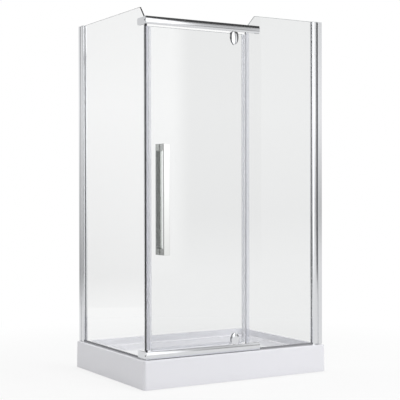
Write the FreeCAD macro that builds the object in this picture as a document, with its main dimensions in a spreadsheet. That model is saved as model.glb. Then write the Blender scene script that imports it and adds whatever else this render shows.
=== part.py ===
import FreeCAD, Part
import os
import Sketcher
from FreeCAD import Vector

# Shower enclosure: an acrylic tray on a levelling frame, a fixed side glass, a fixed front
# glass and a pivot door between two rails. Origin: centre of the tray on the floor.
# +X runs to the right-hand wall, +Y to the back wall, +Z up. All lengths in millimetres.

DRIVING_SIZES = [
    # overall
    ("tray_length", 1200), ("tray_width", 900), ("tray_height", 160),
    ("screen_height", 1900), ("glass_thickness", 8),
    # shower tray
    ("tray_wall", 5), ("skirt_clearance", 4), ("skirt_draft", 1), ("tray_corner_radius", 16),
    ("rim_edge_radius", 8), ("open_rim", 72), ("wall_rim", 30), ("basin_corner_radius", 60),
    ("basin_depth", 42), ("basin_taper", 8), ("floor_edge_radius", 10), ("floor_fall", 12),
    ("floor_fall_margin", 34), ("sump_margin", 6), ("sump_corner_radius", 28),
    ("drain_from_side", 260), ("drain_from_front", 260),
    # support under the tray
    ("board_thickness", 12), ("board_margin", 30), ("board_hole_margin", 9),
    ("tube_side", 25), ("tube_wall", 2),
    ("frame_end_margin", 100), ("frame_side_margin", 108), ("foot_end_inset", 40),
    ("foot_pad_radius", 26), ("foot_pad_height", 14), ("foot_pad_edge", 3),
    ("foot_pad_neck_radius", 10), ("stud_radius", 5), ("stud_top_gap", 3),
    ("stud_socket_floor", 6), ("nut_half_flats", 8.5), ("nut_height", 8),
    # waste
    ("waste_hole_radius", 45), ("flange_radius", 57), ("flange_thickness", 2),
    ("flange_neck_radius", 42), ("flange_neck_length", 26), ("trap_wall", 3),
    ("trap_radius", 49), ("trap_base_height", 22), ("trap_base_radius", 14),
    ("outlet_radius", 20), ("outlet_height", 46), ("outlet_reach", 105),
    ("collar_radius", 24), ("collar_reach", 62), ("gasket_thickness", 2),
    ("cover_radius", 55), ("cover_crown", 6), ("cover_gap", 5), ("cover_edge", 2),
    ("cover_legs", 3), ("cover_leg_radius", 3), ("cover_stem_radius", 4),
    ("strainer_radius", 36), ("strainer_depth", 40), ("strainer_wall", 2),
    ("strainer_draft", 6), ("strainer_slots", 12), ("strainer_slot_width", 5),
    ("strainer_slot_start", 12), ("strainer_slot_margin", 4),
    # glass
    ("side_glass_inset", 33), ("front_glass_inset", 45), ("corner_cut_across", 62),
    ("corner_cut_down", 76), ("glass_edge_chamfer", 0.8), ("door_width", 604),
    ("door_corner_radius", 5), ("pivot_setback", 63), ("joint_gap", 22),
    ("door_gap_top", 12), ("door_gap_bottom", 9), ("door_side_gap", 13),
    # wall jambs
    ("channel_depth", 26), ("channel_half_width", 15), ("channel_wall", 2), ("channel_lip", 1),
    ("jamb_depth", 66), ("jamb_half_crown", 17), ("jamb_half_root", 12.5), ("jamb_half_nose", 14),
    ("jamb_wall", 1.8), ("jamb_leg_start", 8), ("slot_half_width", 5.2), ("slot_floor", 40),
    ("glass_seat_gap", 5.5), ("cap_thickness", 3), ("cap_peg", 8), ("jamb_screw_margin", 140),
    ("wall_hole_radius", 2.75), ("wall_hole_margin", 100), ("jamb_screw_radius", 2),
    ("jamb_screw_head_radius", 4), ("jamb_screw_head_height", 2.2), ("jamb_screw_line", 17),
    ("jamb_screw_tip_gap", 2), ("gasket_lip_gap", 0.2), ("gasket_lip_length", 2),
    ("gasket_lip_flare", 1.4),
    # rails
    ("rail_depth", 22), ("rail_height", 42), ("rail_bulge", 4.5), ("rail_wall", 2),
    ("rail_edge_radius", 1.6), ("rail_drop", 58), ("rail_end_inset", 3), ("rail_overlap", 78),
    ("rail_cap_thickness", 3), ("rail_cap_plug", 8), ("rail_cap_plug_wall", 1.9),
    ("cap_tab_length", 26),
    ("cap_tab_rise", 2.5), ("port_from_back", 7), ("port_radius", 4.5),
    ("port_bore_radius", 2.4), ("port_web_half", 1), ("threshold_gasket", 1),
    ("threshold_inset", 2),
    # clamps and clips on the fixed glass
    ("pad_thickness", 1), ("clamp_thickness", 6), ("clamp_reach", 80), ("clamp_height", 38),
    ("clamp_corner_radius", 7), ("clamp_plate_thickness", 5), ("clamp_screw_first", 32),
    ("clamp_screw_pitch", 30), ("clamp_screw_radius", 2.5), ("clamp_screw_bite", 4.5),
    ("clip_length", 52), ("clip_plate_thickness", 4), ("clip_screw_pitch", 28),
    ("clip_screw_bite", 8), ("clip_screw_rise", 9), ("glass_hole_radius", 6),
    ("end_screw_radius", 2.2), ("end_screw_head_radius", 4.4), ("end_screw_head_height", 4),
    ("end_screw_bite", 22), ("end_screw_sink", 1), ("screw_head_edge", 0.6),
    # pivots and hinges
    ("pin_radius", 4), ("pin_running_gap", 0.06), ("pin_engagement", 12), ("bush_radius", 5.2),
    ("bush_flange_radius", 9), ("bush_flange_thickness", 1.5), ("bush_length", 13),
    ("hinge_width", 48), ("top_hinge_length", 73), ("bottom_hinge_length", 63),
    ("gasket_inset", 1), ("hinge_shoulder_radius", 9), ("hinge_waist", 28), ("hinge_tip_radius", 10),
    ("hinge_rail_gap", 3), ("hinge_crown", 9), ("pillow_length_share", 0.66),
    ("pillow_width_share", 0.58), ("pillow_centre_share", 0.46), ("hinge_edge_radius", 1.5),
    ("hinge_block_half_width", 14), ("hinge_block_root", 3), ("hinge_plate_thickness", 5),
    ("hinge_screw_from_root", 24), ("hinge_screw_pitch", 19), ("hinge_screw_radius", 2.5),
    ("hinge_screw_bite", 3.5), ("pin_socket_floor", 1), ("pin_chamfer", 0.8),
    # dome-head screws of clamps, clips and hinges
    ("dome_head_radius", 4.5), ("dome_head_height", 2.5), ("dome_head_rim", 0.8),
    ("dome_head_flat_radius", 2.7), ("driver_recess_radius", 2), ("driver_recess_depth", 1.5),
    # door seals
    ("seal_leg", 0.8), ("seal_grip", 0.1), ("seal_web", 3), ("seal_rise", 6),
    ("clip_leg", 1.4), ("magnet_leg_length", 14), ("magnet_width", 8), ("magnet_depth", 4),
    ("edge_leg_length", 12), ("edge_fin_reach", 18), ("fin_thickness", 1), ("drip_rise", 10),
    ("drip_web", 2.5), ("fixed_leg_length", 24), ("strike_web", 5.5), ("seal_end_gap", 1),
    # handle
    ("handle_length", 600), ("handle_width", 36), ("handle_projection", 45),
    ("handle_bar_thickness", 10), ("handle_post_height", 35), ("handle_edge_radius", 1),
    ("handle_side_gap", 66), ("handle_centre_height", 1020), ("handle_inner_radius", 4),
    ("boss_radius", 8), ("boss_length", 8), ("handle_stud_radius", 3),
    ("handle_stud_gap", 1), ("washer_radius", 16.5), ("washer_thickness", 1),
    ("grub_radius", 2.5), ("grub_length", 9), ("grub_from_glass", 5),
    # fits
    ("fit_gap", 0.1), ("running_gap", 0.5),
]

doc = FreeCAD.newDocument("shower_enclosure")
sheet = doc.addObject("Spreadsheet::Sheet", "size")
for row, (alias, number) in enumerate(DRIVING_SIZES, start=1):
    sheet.set("A%d" % row, alias)
    sheet.set("B%d" % row, str(number))
    sheet.setAlias("B%d" % row, alias)
doc.recompute()

# Planes and levels shared by several pieces, as expressions on the sheet.
LEFT = "(-size.tray_length / 2)"
RIGHT = "(size.tray_length / 2)"
FRONT = "(-size.tray_width / 2)"
BACK = "(size.tray_width / 2)"
RIM = "size.tray_height"
GLASS_TOP = "(size.tray_height + size.screen_height)"
GLASS_BOTTOM = "(size.tray_height + size.seal_web)"
SIDE_OUT = f"({LEFT} + size.side_glass_inset)"
SIDE_MID = f"({SIDE_OUT} + size.glass_thickness / 2)"
SIDE_IN = f"({SIDE_OUT} + size.glass_thickness)"
FIXED_OUT = f"({FRONT} + size.front_glass_inset)"
FIXED_MID = f"({FIXED_OUT} + size.glass_thickness / 2)"
FIXED_IN = f"({FIXED_OUT} + size.glass_thickness)"
RAIL_BACK = f"({FIXED_OUT} - size.pad_thickness)"
RAIL_FRONT = f"({RAIL_BACK} - size.rail_depth)"
RAIL_MID = f"({RAIL_BACK} - size.rail_depth / 2)"
RAIL_LEFT = f"({SIDE_OUT} + size.rail_end_inset)"
DOOR_OUT = f"({RAIL_MID} - size.glass_thickness / 2)"
DOOR_IN = f"({RAIL_MID} + size.glass_thickness / 2)"
DOOR_LEFT = f"({SIDE_OUT} + size.door_side_gap)"
DOOR_RIGHT = f"({DOOR_LEFT} + size.door_width)"
PIVOT_X = f"({DOOR_RIGHT} - size.pivot_setback)"
FIXED_LEFT = f"({DOOR_RIGHT} + size.joint_gap)"
RAIL_RIGHT = f"({FIXED_LEFT} + size.rail_overlap)"
LOW_RAIL = "(size.tray_height + size.threshold_gasket)"
LOW_RAIL_TOP = f"({LOW_RAIL} + size.rail_height)"
HIGH_RAIL = f"({GLASS_TOP} - size.rail_drop - size.rail_height)"
DOOR_BOTTOM = f"({LOW_RAIL_TOP} + size.door_gap_bottom)"
DOOR_TOP = f"({HIGH_RAIL} - size.door_gap_top)"
DRAIN_X = f"({LEFT} + size.drain_from_side)"
DRAIN_Y = f"({FRONT} + size.drain_from_front)"
FLOOR_EDGE = "(size.tray_height - size.basin_depth)"
FLOOR_LOW = f"({FLOOR_EDGE} - size.floor_fall)"
TRAY_UNDERSIDE = f"({FLOOR_LOW} - size.tray_wall)"
FRAME_TOP = f"({TRAY_UNDERSIDE} - size.board_thickness)"
FRAME_BOTTOM = f"({FRAME_TOP} - size.tube_side)"
FOOT_X = f"({RIGHT} - size.frame_end_margin - size.foot_end_inset)"
FOOT_Y = f"({BACK} - size.frame_side_margin)"
SKIRT_INSET = "(size.tray_height * tan(size.skirt_draft * 1deg))"
JAMB_TOP = f"({GLASS_TOP} - size.cap_thickness)"
SEAL_INSET = "(size.jamb_depth + size.gasket_lip_length + size.seal_end_gap)"
HANDLE_X = f"({DOOR_LEFT} + size.handle_side_gap)"
HANDLE_MID_X = f"({HANDLE_X} + size.handle_width / 2)"
HANDLE_LOW = "(size.handle_centre_height - size.handle_length / 2)"
HANDLE_HIGH = "(size.handle_centre_height + size.handle_length / 2)"
POST_LEVELS = [
    f"({HANDLE_LOW} + size.handle_post_height / 2)",
    f"({HANDLE_HIGH} - size.handle_post_height / 2)",
]
CLAMP_Y = [
    f"({FIXED_OUT} + size.clamp_screw_first)",
    f"({FIXED_OUT} + size.clamp_screw_first + size.clamp_screw_pitch)",
]
CLAMP_BACK = f"({FIXED_OUT} + size.clamp_reach)"
CLIP_LEFT = f"({RAIL_RIGHT} - size.clip_length)"
CLIP_X = [
    f"({CLIP_LEFT} + (size.clip_length - size.clip_screw_pitch) / 2)",
    f"({CLIP_LEFT} + (size.clip_length + size.clip_screw_pitch) / 2)",
]
RAIL_LEVELS = [LOW_RAIL, HIGH_RAIL]
FASTENER_LEVELS = [f"({level} + size.rail_height / 2)" for level in RAIL_LEVELS]
TOP_ROOT = f"({HIGH_RAIL} - size.hinge_rail_gap)"
BOTTOM_ROOT = f"({LOW_RAIL_TOP} + size.hinge_rail_gap)"
TOP_HINGE_SCREWS = [
    f"({TOP_ROOT} - size.hinge_screw_from_root)",
    f"({TOP_ROOT} - size.hinge_screw_from_root - size.hinge_screw_pitch)",
]
BOTTOM_HINGE_SCREWS = [
    f"({BOTTOM_ROOT} + size.hinge_screw_from_root)",
    f"({BOTTOM_ROOT} + size.hinge_screw_from_root + size.hinge_screw_pitch)",
]
JAMB_SCREW_LEVELS = [
    f"({RIM} + size.jamb_screw_margin)",
    f"({RIM} + size.screen_height / 2)",
    f"({JAMB_TOP} - size.jamb_screw_margin)",
]
WALL_HOLE_LEVELS = [
    f"({RIM} + size.wall_hole_margin)",
    f"(({RIM} + {JAMB_TOP}) / 2)",
    f"({JAMB_TOP} - size.wall_hole_margin)",
]

pieces = []


def number(expression):
    """The present value of an expression on the sheet, in millimetres or degrees."""
    value = sheet.evalExpression(str(expression))
    return float(getattr(value, "Value", value))


def bind(thing, **sizes):
    """Tie properties of an object to expressions; '__' in a name stands for '.'."""
    for name, expression in sizes.items():
        thing.setExpression(name.replace("__", "."), str(expression))
    return thing


def place(thing, x="0", y="0", z="0", turn=None, axis=(0, 0, 1)):
    """Put an object at a point given by expressions, turned by a fixed angle about an axis."""
    if turn:
        thing.Placement = FreeCAD.Placement(Vector(0, 0, 0), FreeCAD.Rotation(Vector(*axis), turn))
    return bind(thing, Placement__Base__x=x, Placement__Base__y=y, Placement__Base__z=z)


def keep(thing, label):
    """Name a finished sub-part; its label is the name of its file."""
    thing.Label = label
    pieces.append(thing)
    return thing


def new_body(name):
    """An empty body with the given name."""
    return doc.addObject("PartDesign::Body", name)


def rounded_box(x_low, y_low, x_high, y_high, radius):
    """A rectangle with four equal rounded corners, as a loop for draw()."""
    radius = f"({radius})"
    return [
        (f"{x_low} + {radius}", y_low), (f"{x_high} - {radius}", y_low, radius, 1),
        (x_high, f"{y_low} + {radius}"), (x_high, f"{y_high} - {radius}", radius, 1),
        (f"{x_high} - {radius}", y_high), (f"{x_low} + {radius}", y_high, radius, 1),
        (x_low, f"{y_high} - {radius}"), (x_low, f"{y_low} + {radius}", radius, 1),
    ]


def box_loop(x_low, y_low, x_high, y_high):
    """A plain rectangle, as a loop for draw()."""
    return [(x_low, y_low), (x_high, y_low), (x_high, y_high), (x_low, y_high)]


def arc_middle(start, end, radius, turn):
    """The middle point of the minor arc from start to end; turn is 1 to the left, -1 right."""
    chord = end - start
    half = chord.Length / 2
    radius = max(radius, half)
    sagitta = radius - (radius * radius - half * half) ** 0.5
    right_hand = Vector(chord.y, -chord.x, 0).normalize()
    return (start + end) * 0.5 + right_hand * sagitta * turn


def tie(sketch, constraints):
    """Add constraints given as (constraint, expression or None) and bind those with one."""
    indices = sketch.addConstraint([constraint for constraint, _ in constraints])
    for index, (_, expression) in zip(indices, constraints):
        if expression is not None:
            sketch.setExpression(f"Constraints[{index}]", str(expression))


def hold_point(index, end, x, y, point):
    """Constraints that hold one end of an edge, or a centre, at two expressions."""
    return [(Sketcher.Constraint("DistanceX", -1, 1, index, end, point.x), x),
            (Sketcher.Constraint("DistanceY", -1, 1, index, end, point.y), y)]


def draw_circle(sketch, x, y, radius):
    """Draw one circle, its centre and radius tied to their expressions."""
    centre = Vector(number(x), number(y), 0)
    size = number(radius)
    index = sketch.addGeometry(Part.Circle(centre, Vector(0, 0, 1), size), False)
    constraints = hold_point(index, 3, x, y, centre)
    constraints.append((Sketcher.Constraint("Radius", index, size), radius))
    tie(sketch, constraints)


def draw_loop(sketch, corners):
    """Draw one closed loop of lines and arcs, each corner tied to its two expressions."""
    points = [Vector(number(corner[0]), number(corner[1]), 0) for corner in corners]
    following = points[1:] + points[:1]
    edges, ends = [], []
    for corner, start, end in zip(corners, points, following):
        turn = corner[3] if len(corner) == 4 else 1
        first, last = (start, end) if turn == 1 else (end, start)
        ends.append((1, 2) if turn == 1 else (2, 1))
        if len(corner) == 4:
            middle = arc_middle(start, end, number(corner[2]), turn)
            edges.append(Part.Arc(first, middle, last))
        else:
            edges.append(Part.LineSegment(first, last))
    indices = sketch.addGeometry(edges, False)
    constraints = []
    for place_in_loop, (corner, index) in enumerate(zip(corners, indices)):
        own_start, own_end = ends[place_in_loop]
        next_place = (place_in_loop + 1) % len(corners)
        join = Sketcher.Constraint(
            "Coincident", index, own_end, indices[next_place], ends[next_place][0])
        constraints.append((join, None))
        constraints += hold_point(index, own_start, corner[0], corner[1], points[place_in_loop])
        if len(corner) == 4:
            radius = sketch.Geometry[index].Radius
            constraints.append((Sketcher.Constraint("Radius", index, radius), corner[2]))
    tie(sketch, constraints)


def draw(body, role, loops, lift="0"):
    """A sketch on one of the body's origin planes, lifted along the plane's normal.

    A loop is a list of corners, or a tuple (x, y, radius) for a circle.
    """
    plane = [item for item in body.Origin.OriginFeatures if item.Role == role][0]
    sketch = body.newObject("Sketcher::SketchObject", "outline")
    sketch.AttachmentSupport = (plane, [""])
    sketch.MapMode = "FlatFace"
    bind(sketch, AttachmentOffset__Base__z=lift)
    for loop in loops:
        if isinstance(loop, tuple):
            draw_circle(sketch, *loop)
        else:
            draw_loop(sketch, loop)
    return sketch


def pad(body, sketch, length, backwards=False, both_ways=False, taper=None):
    """Add the sketch's area over a length, along its plane's normal unless backwards."""
    feature = body.newObject("PartDesign::Pad", "pad")
    feature.Profile = sketch
    feature.Reversed = backwards
    feature.Midplane = both_ways
    bind(feature, Length=length)
    if taper:
        bind(feature, TaperAngle=taper)
    return feature


def pocket(body, sketch, length, backwards=False, taper=None):
    """Cut the sketch's area over a length, against its plane's normal unless backwards."""
    feature = body.newObject("PartDesign::Pocket", "pocket")
    feature.Profile = sketch
    feature.Reversed = backwards
    bind(feature, Length=length)
    if taper:
        bind(feature, TaperAngle=taper)
    return feature


def revolve(body, sketch, kind="Revolution"):
    """Turn a sketch on the XZ plane once round the vertical axis, to add it or as a Groove."""
    feature = body.newObject(f"PartDesign::{kind}", kind.lower())
    feature.Profile = sketch
    feature.ReferenceAxis = (sketch, ["V_Axis"])
    feature.Angle = 360
    return feature


def soften(body, radius, chosen, kind="Fillet"):
    """Fillet or chamfer the edges of the body for which chosen(edge) is true."""
    doc.recompute([body])
    base = body.Tip
    names = [f"Edge{i}" for i, edge in enumerate(base.Shape.Edges, start=1) if chosen(edge)]
    feature = body.newObject(f"PartDesign::{kind}", kind.lower())
    feature.Base = (base, names)
    bind(feature, **{"Radius" if kind == "Fillet" else "Size": radius})
    return feature


def polar_copies(body, feature, count):
    """Repeat the feature at equal steps round the body's vertical axis."""
    pattern = body.newObject("PartDesign::PolarPattern", "round_pattern")
    pattern.Originals = [feature]
    axis = [item for item in body.Origin.OriginFeatures if item.Role == "Z_Axis"][0]
    pattern.Axis = (axis, [""])
    pattern.Angle = 360
    bind(pattern, Occurrences=count)
    body.Tip = pattern


def runs_along(edge, direction):
    """True for a straight edge parallel to the given unit direction."""
    if edge.Curve.TypeId != "Part::GeomLine":
        return False
    return edge.Curve.Direction.cross(Vector(*direction)).Length < 1e-6


def lies_at(edge, axis, value):
    """True when the whole edge lies in the plane where the axis has the value."""
    box = edge.BoundBox
    low, high = getattr(box, f"{axis}Min"), getattr(box, f"{axis}Max")
    return abs(low - value) < 0.01 and abs(high - value) < 0.01


def copies(label, first, placements):
    """One node holding a piece and its copies; each placement is a dict for place()."""
    group = [place(first, **placements[0])]
    for where in placements[1:]:
        twin = doc.addObject("App::Link", first.Name + "_copy")
        twin.LinkedObject = first
        twin.LinkTransform = False
        group.append(place(twin, **where))
    node = doc.addObject("Part::Compound", label)
    node.Links = group
    return keep(node, label)


def gather(label, members):
    """One node holding several separate solids."""
    node = doc.addObject("Part::Compound", label)
    node.Links = members
    return keep(node, label)


# ---------------------------------------------------------------- shower tray and its support

def make_tray():
    """Moulded tray: drafted skirt, rolled rim, tapered basin and a floor that falls to the drain."""
    body = new_body("tray")
    outline = rounded_box(LEFT, FRONT, RIGHT, BACK, "size.tray_corner_radius")
    height = "size.tray_height - size.skirt_clearance"
    pad(body, draw(body, "XY_Plane", [outline], "size.skirt_clearance"), height,
        taper="-size.skirt_draft")
    rim = number(RIM)
    soften(body, "size.rim_edge_radius", lambda edge: lies_at(edge, "Z", rim))

    basin = [f"{LEFT} + size.open_rim", f"{FRONT} + size.open_rim",
             f"{RIGHT} - size.wall_rim", f"{BACK} - size.wall_rim"]
    basin_outline = rounded_box(*basin, "size.basin_corner_radius")
    pocket(body, draw(body, "XY_Plane", [basin_outline], RIM), "size.basin_depth",
           taper="-size.basin_taper")
    floor = number(FLOOR_EDGE)
    soften(body, "size.floor_edge_radius",
           lambda edge: lies_at(edge, "Z", floor) and edge.BoundBox.DiagonalLength > 1)

    margin = "size.floor_fall_margin"
    upper = rounded_box(f"{basin[0]} + {margin}", f"{basin[1]} + {margin}",
                        f"{basin[2]} - {margin}", f"{basin[3]} - {margin}", f"{margin}")
    reach = "(size.flange_radius + size.sump_margin)"
    lower = rounded_box(f"{DRAIN_X} - {reach}", f"{DRAIN_Y} - {reach}",
                        f"{DRAIN_X} + {reach}", f"{DRAIN_Y} + {reach}", "size.sump_corner_radius")
    fall = body.newObject("PartDesign::SubtractiveLoft", "floor_fall")
    fall.Profile = draw(body, "XY_Plane", [upper], FLOOR_EDGE)
    fall.Sections = [draw(body, "XY_Plane", [lower], FLOOR_LOW)]
    fall.Ruled = True

    seat = (DRAIN_X, DRAIN_Y, "size.flange_radius + size.running_gap")
    pocket(body, draw(body, "XY_Plane", [seat], FLOOR_LOW), "size.flange_thickness")
    hole = (DRAIN_X, DRAIN_Y, "size.waste_hole_radius")
    pocket(body, draw(body, "XY_Plane", [hole], FLOOR_LOW), "size.tray_wall * 2")

    inset = f"({SKIRT_INSET} + size.tray_wall)"
    inside = rounded_box(f"{LEFT} + {inset}", f"{FRONT} + {inset}", f"{RIGHT} - {inset}",
                         f"{BACK} - {inset}", "size.tray_corner_radius - size.tray_wall")
    pocket(body, draw(body, "XY_Plane", [inside], "size.skirt_clearance"),
           f"{TRAY_UNDERSIDE} - size.skirt_clearance", backwards=True)
    wall = "size.tray_wall"
    around_basin = rounded_box(f"{basin[0]} - {wall}", f"{basin[1]} - {wall}",
                               f"{basin[2]} + {wall}", f"{basin[3]} + {wall}",
                               f"(size.basin_corner_radius + {wall})")
    pocket(body, draw(body, "XY_Plane", [inside, around_basin], TRAY_UNDERSIDE),
           f"{RIM} - size.tray_wall - {TRAY_UNDERSIDE}", backwards=True)
    return keep(body, "tray")


def make_backing_board():
    """Stiffening board bonded under the basin floor, open round the waste."""
    body = new_body("tray_backing_board")
    margin = "size.board_margin"
    outline = box_loop(f"{LEFT} + size.open_rim + {margin}", f"{FRONT} + size.open_rim + {margin}",
                       f"{RIGHT} - size.wall_rim - {margin}", f"{BACK} - size.wall_rim - {margin}")
    hole = (DRAIN_X, DRAIN_Y, "size.flange_radius + size.board_hole_margin")
    pad(body, draw(body, "XY_Plane", [outline, hole], FRAME_TOP), "size.board_thickness")
    return keep(body, "tray_backing_board")


def frame_tube(name, role, length, holes):
    """Square tube centred on its own middle, its top face at zero, with stud holes below."""
    body = new_body(name)
    half, wall = "size.tube_side / 2", "size.tube_wall"
    section = [
        box_loop(f"-{half}", "-size.tube_side", half, "0"),
        box_loop(f"-{half} + {wall}", f"-size.tube_side + {wall}", f"{half} - {wall}", f"-{wall}"),
    ]
    pad(body, draw(body, role, section), length, both_ways=True)
    for x, y in holes:
        hole = (x, y, "size.stud_radius + size.fit_gap")
        pocket(body, draw(body, "XY_Plane", [hole], "-size.tube_side"),
               "size.tube_wall * 2", backwards=True)
    return body


def make_frame():
    """Welded frame: two long tubes, with three cross tubes butted between them."""
    long_length = f"{RIGHT} * 2 - size.frame_end_margin * 2"
    tubes = []
    for side, level in (("front", f"-{FOOT_Y}"), ("back", FOOT_Y)):
        holes = [(f"-{FOOT_X}", "0"), (FOOT_X, "0")]
        tube = frame_tube(f"{side}_tube", "YZ_Plane", long_length, holes)
        tubes.append(place(tube, y=level, z=FRAME_TOP))
    cross_length = f"{FOOT_Y} * 2 - size.tube_side"
    for side, across, holes in (("left", f"-{FOOT_X}", []), ("middle", "0", [("0", "0")]),
                                ("right", FOOT_X, [])):
        tube = frame_tube(f"{side}_cross_tube", "XZ_Plane", cross_length, holes)
        tubes.append(place(tube, x=across, z=FRAME_TOP))
    return gather("tray_frame", tubes)


def make_feet():
    """Five levelling feet: pad on the floor, threaded stud and locknut under the frame."""
    spots = [dict(x=x, y=y) for x in (f"-{FOOT_X}", FOOT_X) for y in (f"-{FOOT_Y}", FOOT_Y)]
    spots.append(dict(x="0", y="0"))

    foot = new_body("foot_pad")
    socket = "size.stud_radius + size.fit_gap"
    profile = [("0", "0"), ("size.foot_pad_radius", "0"),
               ("size.foot_pad_radius", "size.foot_pad_edge"),
               ("size.foot_pad_neck_radius", "size.foot_pad_height"),
               (socket, "size.foot_pad_height"), (socket, "size.stud_socket_floor"),
               ("0", "size.stud_socket_floor")]
    revolve(foot, draw(foot, "XZ_Plane", [profile]))
    copies("foot_pads", foot, spots)

    stud = new_body("foot_stud")
    top = f"{FRAME_TOP} - size.tube_wall - size.stud_top_gap"
    pad(stud, draw(stud, "XY_Plane", [("0", "0", "size.stud_radius")], "size.stud_socket_floor"),
        f"{top} - size.stud_socket_floor")
    copies("foot_studs", stud, spots)

    nut = new_body("foot_locknut")
    flats, corner = "size.nut_half_flats", "size.nut_half_flats / cos(30deg)"
    hexagon = [(corner, "0"), (f"{corner} / 2", flats), (f"-{corner} / 2", flats),
               (f"-{corner}", "0"), (f"-{corner} / 2", f"-{flats}"), (f"{corner} / 2", f"-{flats}")]
    bore = ("0", "0", "size.stud_radius + size.fit_gap")
    pad(nut, draw(nut, "XY_Plane", [hexagon, bore], f"{FRAME_BOTTOM} - size.nut_height"),
        "size.nut_height")
    copies("foot_locknuts", nut, spots)


def make_trap(under):
    """Trap bowl under the tray: turned outside, collared side outlet, then hollowed."""
    trap = new_body("trap_body")
    wall, radius = "size.trap_wall", "size.trap_radius"
    base, turn = "size.trap_base_height", "size.trap_base_radius"
    shelf = f"{under} - size.flange_neck_length"
    outside = [("0", base), (f"{radius} - {turn}", base, turn, 1), (radius, f"{base} + {turn}"),
               (radius, f"{under} - {wall}"), ("size.flange_radius", f"{under} - {wall}"),
               ("size.flange_radius", under), ("0", under)]
    revolve(trap, draw(trap, "XZ_Plane", [outside]))
    collar = ("0", "size.outlet_height", "size.collar_radius")
    pad(trap, draw(trap, "XZ_Plane", [collar]), "size.collar_reach", backwards=True)
    spigot = ("0", "size.outlet_height", "size.outlet_radius")
    pad(trap, draw(trap, "XZ_Plane", [spigot]), "size.outlet_reach", backwards=True)
    neck = "(size.flange_neck_radius + size.fit_gap)"
    inside = [("0", f"{base} + {wall}"),
              (f"{radius} - {turn}", f"{base} + {wall}", f"{turn} - {wall}", 1),
              (f"{radius} - {wall}", f"{base} + {turn}"),
              (f"{radius} - {wall}", f"{shelf} - {wall}"), (neck, shelf),
              (neck, f"{under} + {wall}"), ("0", f"{under} + {wall}")]
    revolve(trap, draw(trap, "XZ_Plane", [inside]), "Groove")
    bore = ("0", "size.outlet_height", f"size.outlet_radius - {wall}")
    pocket(trap, draw(trap, "XZ_Plane", [bore]), "size.outlet_reach")
    return keep(place(trap, DRAIN_X, DRAIN_Y), "trap_body")


def make_waste():
    """Gasket, trap and flange round the drain hole of the tray."""
    under = f"({TRAY_UNDERSIDE} - size.gasket_thickness)"
    gasket = new_body("trap_gasket")
    rings = [("0", "0", "size.flange_radius"), ("0", "0", "size.waste_hole_radius")]
    pad(gasket, draw(gasket, "XY_Plane", rings, under), "size.gasket_thickness")
    keep(place(gasket, DRAIN_X, DRAIN_Y), "trap_gasket")

    make_trap(under)

    flange = new_body("trap_flange")
    wall = "size.trap_wall"
    neck, inner = "size.flange_neck_radius", f"size.flange_neck_radius - {wall}"
    seat = f"{FLOOR_LOW} - size.flange_thickness"
    foot = f"{FLOOR_LOW} - size.flange_neck_length"
    ring = [(neck, seat), ("size.flange_radius", seat),
            ("size.flange_radius - size.flange_thickness / 2", FLOOR_LOW), (inner, FLOOR_LOW),
            (inner, f"{foot} + {wall}"), (f"{inner} - {wall}", f"{foot} + {wall}"),
            (f"{inner} - {wall}", foot), (neck, foot)]
    revolve(flange, draw(flange, "XZ_Plane", [ring]))
    keep(place(flange, DRAIN_X, DRAIN_Y), "trap_flange")


def make_waste_insert():
    """Lift-out dome cover on three legs, with a slotted strainer cup on its stem."""
    cover = new_body("waste_cover")
    low, edge = f"({FLOOR_LOW} + size.cover_gap)", "size.cover_edge"
    radius, crown, stem = "size.cover_radius", "size.cover_crown", "size.cover_stem_radius"
    dome_radius = f"(({radius} ^ 2 + {crown} ^ 2) / (2 * {crown}))"
    stem_end = f"{FLOOR_LOW} - size.strainer_depth - size.strainer_wall * 2"
    dome = [("0", f"{low} + {edge} + {crown}"), ("0", stem_end), (stem, stem_end),
            (stem, f"{low} + {edge}"), (f"{radius} - {edge} * 2", f"{low} + {edge} / 2"),
            (f"{radius} - {edge}", low), (radius, low), (radius, f"{low} + {edge}", dome_radius, 1)]
    revolve(cover, draw(cover, "XZ_Plane", [dome]))
    leg_circle = "size.flange_neck_radius + size.cover_leg_radius + size.running_gap * 4"
    leg = pad(cover, draw(cover, "XY_Plane", [(leg_circle, "0", "size.cover_leg_radius")],
                          f"{FLOOR_LOW} + size.running_gap"),
              "size.cover_gap + size.cover_edge - size.running_gap")
    polar_copies(cover, leg, "size.cover_legs")
    keep(place(cover, DRAIN_X, DRAIN_Y), "waste_cover")

    cup = new_body("waste_strainer")
    radius, thin, draft = "size.strainer_radius", "size.strainer_wall", "size.strainer_draft"
    top = f"({FLOOR_LOW} - size.flange_neck_length + size.trap_wall + size.running_gap)"
    bottom = f"({FLOOR_LOW} - size.strainer_depth - {thin})"
    stem_fit = "size.cover_stem_radius + size.fit_gap"
    shell = [(stem_fit, bottom), (f"{radius} - {draft}", bottom), (f"{radius} - {thin}", top),
             (f"{radius} + {thin}", top), (f"{radius} + {thin}", f"{top} + {thin}"),
             (f"{radius} - {thin} * 2", f"{top} + {thin}"),
             (f"{radius} - {draft} - {thin}", f"{bottom} + {thin}"), (stem_fit, f"{bottom} + {thin}")]
    revolve(cup, draw(cup, "XZ_Plane", [shell]))
    half = "size.strainer_slot_width / 2"
    slot = box_loop("size.strainer_slot_start", f"-{half}",
                    f"{radius} - {draft} - size.strainer_slot_margin", half)
    first_slot = pocket(cup, draw(cup, "XY_Plane", [slot], f"{bottom} + {thin} + size.running_gap"),
                        f"{thin} + size.running_gap * 2")
    polar_copies(cup, first_slot, "size.strainer_slots")
    keep(place(cup, DRAIN_X, DRAIN_Y), "waste_strainer")


# ---------------------------------------------------------------- glass panes

def edge_chamfer(body):
    """The ground edge of a pane: the straight edges of its two faces take a small chamfer."""
    shortest = number("size.glass_thickness") * 2
    soften(body, "size.glass_edge_chamfer",
           lambda edge: edge.Curve.TypeId == "Part::GeomLine" and edge.Length > shortest, "Chamfer")


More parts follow.
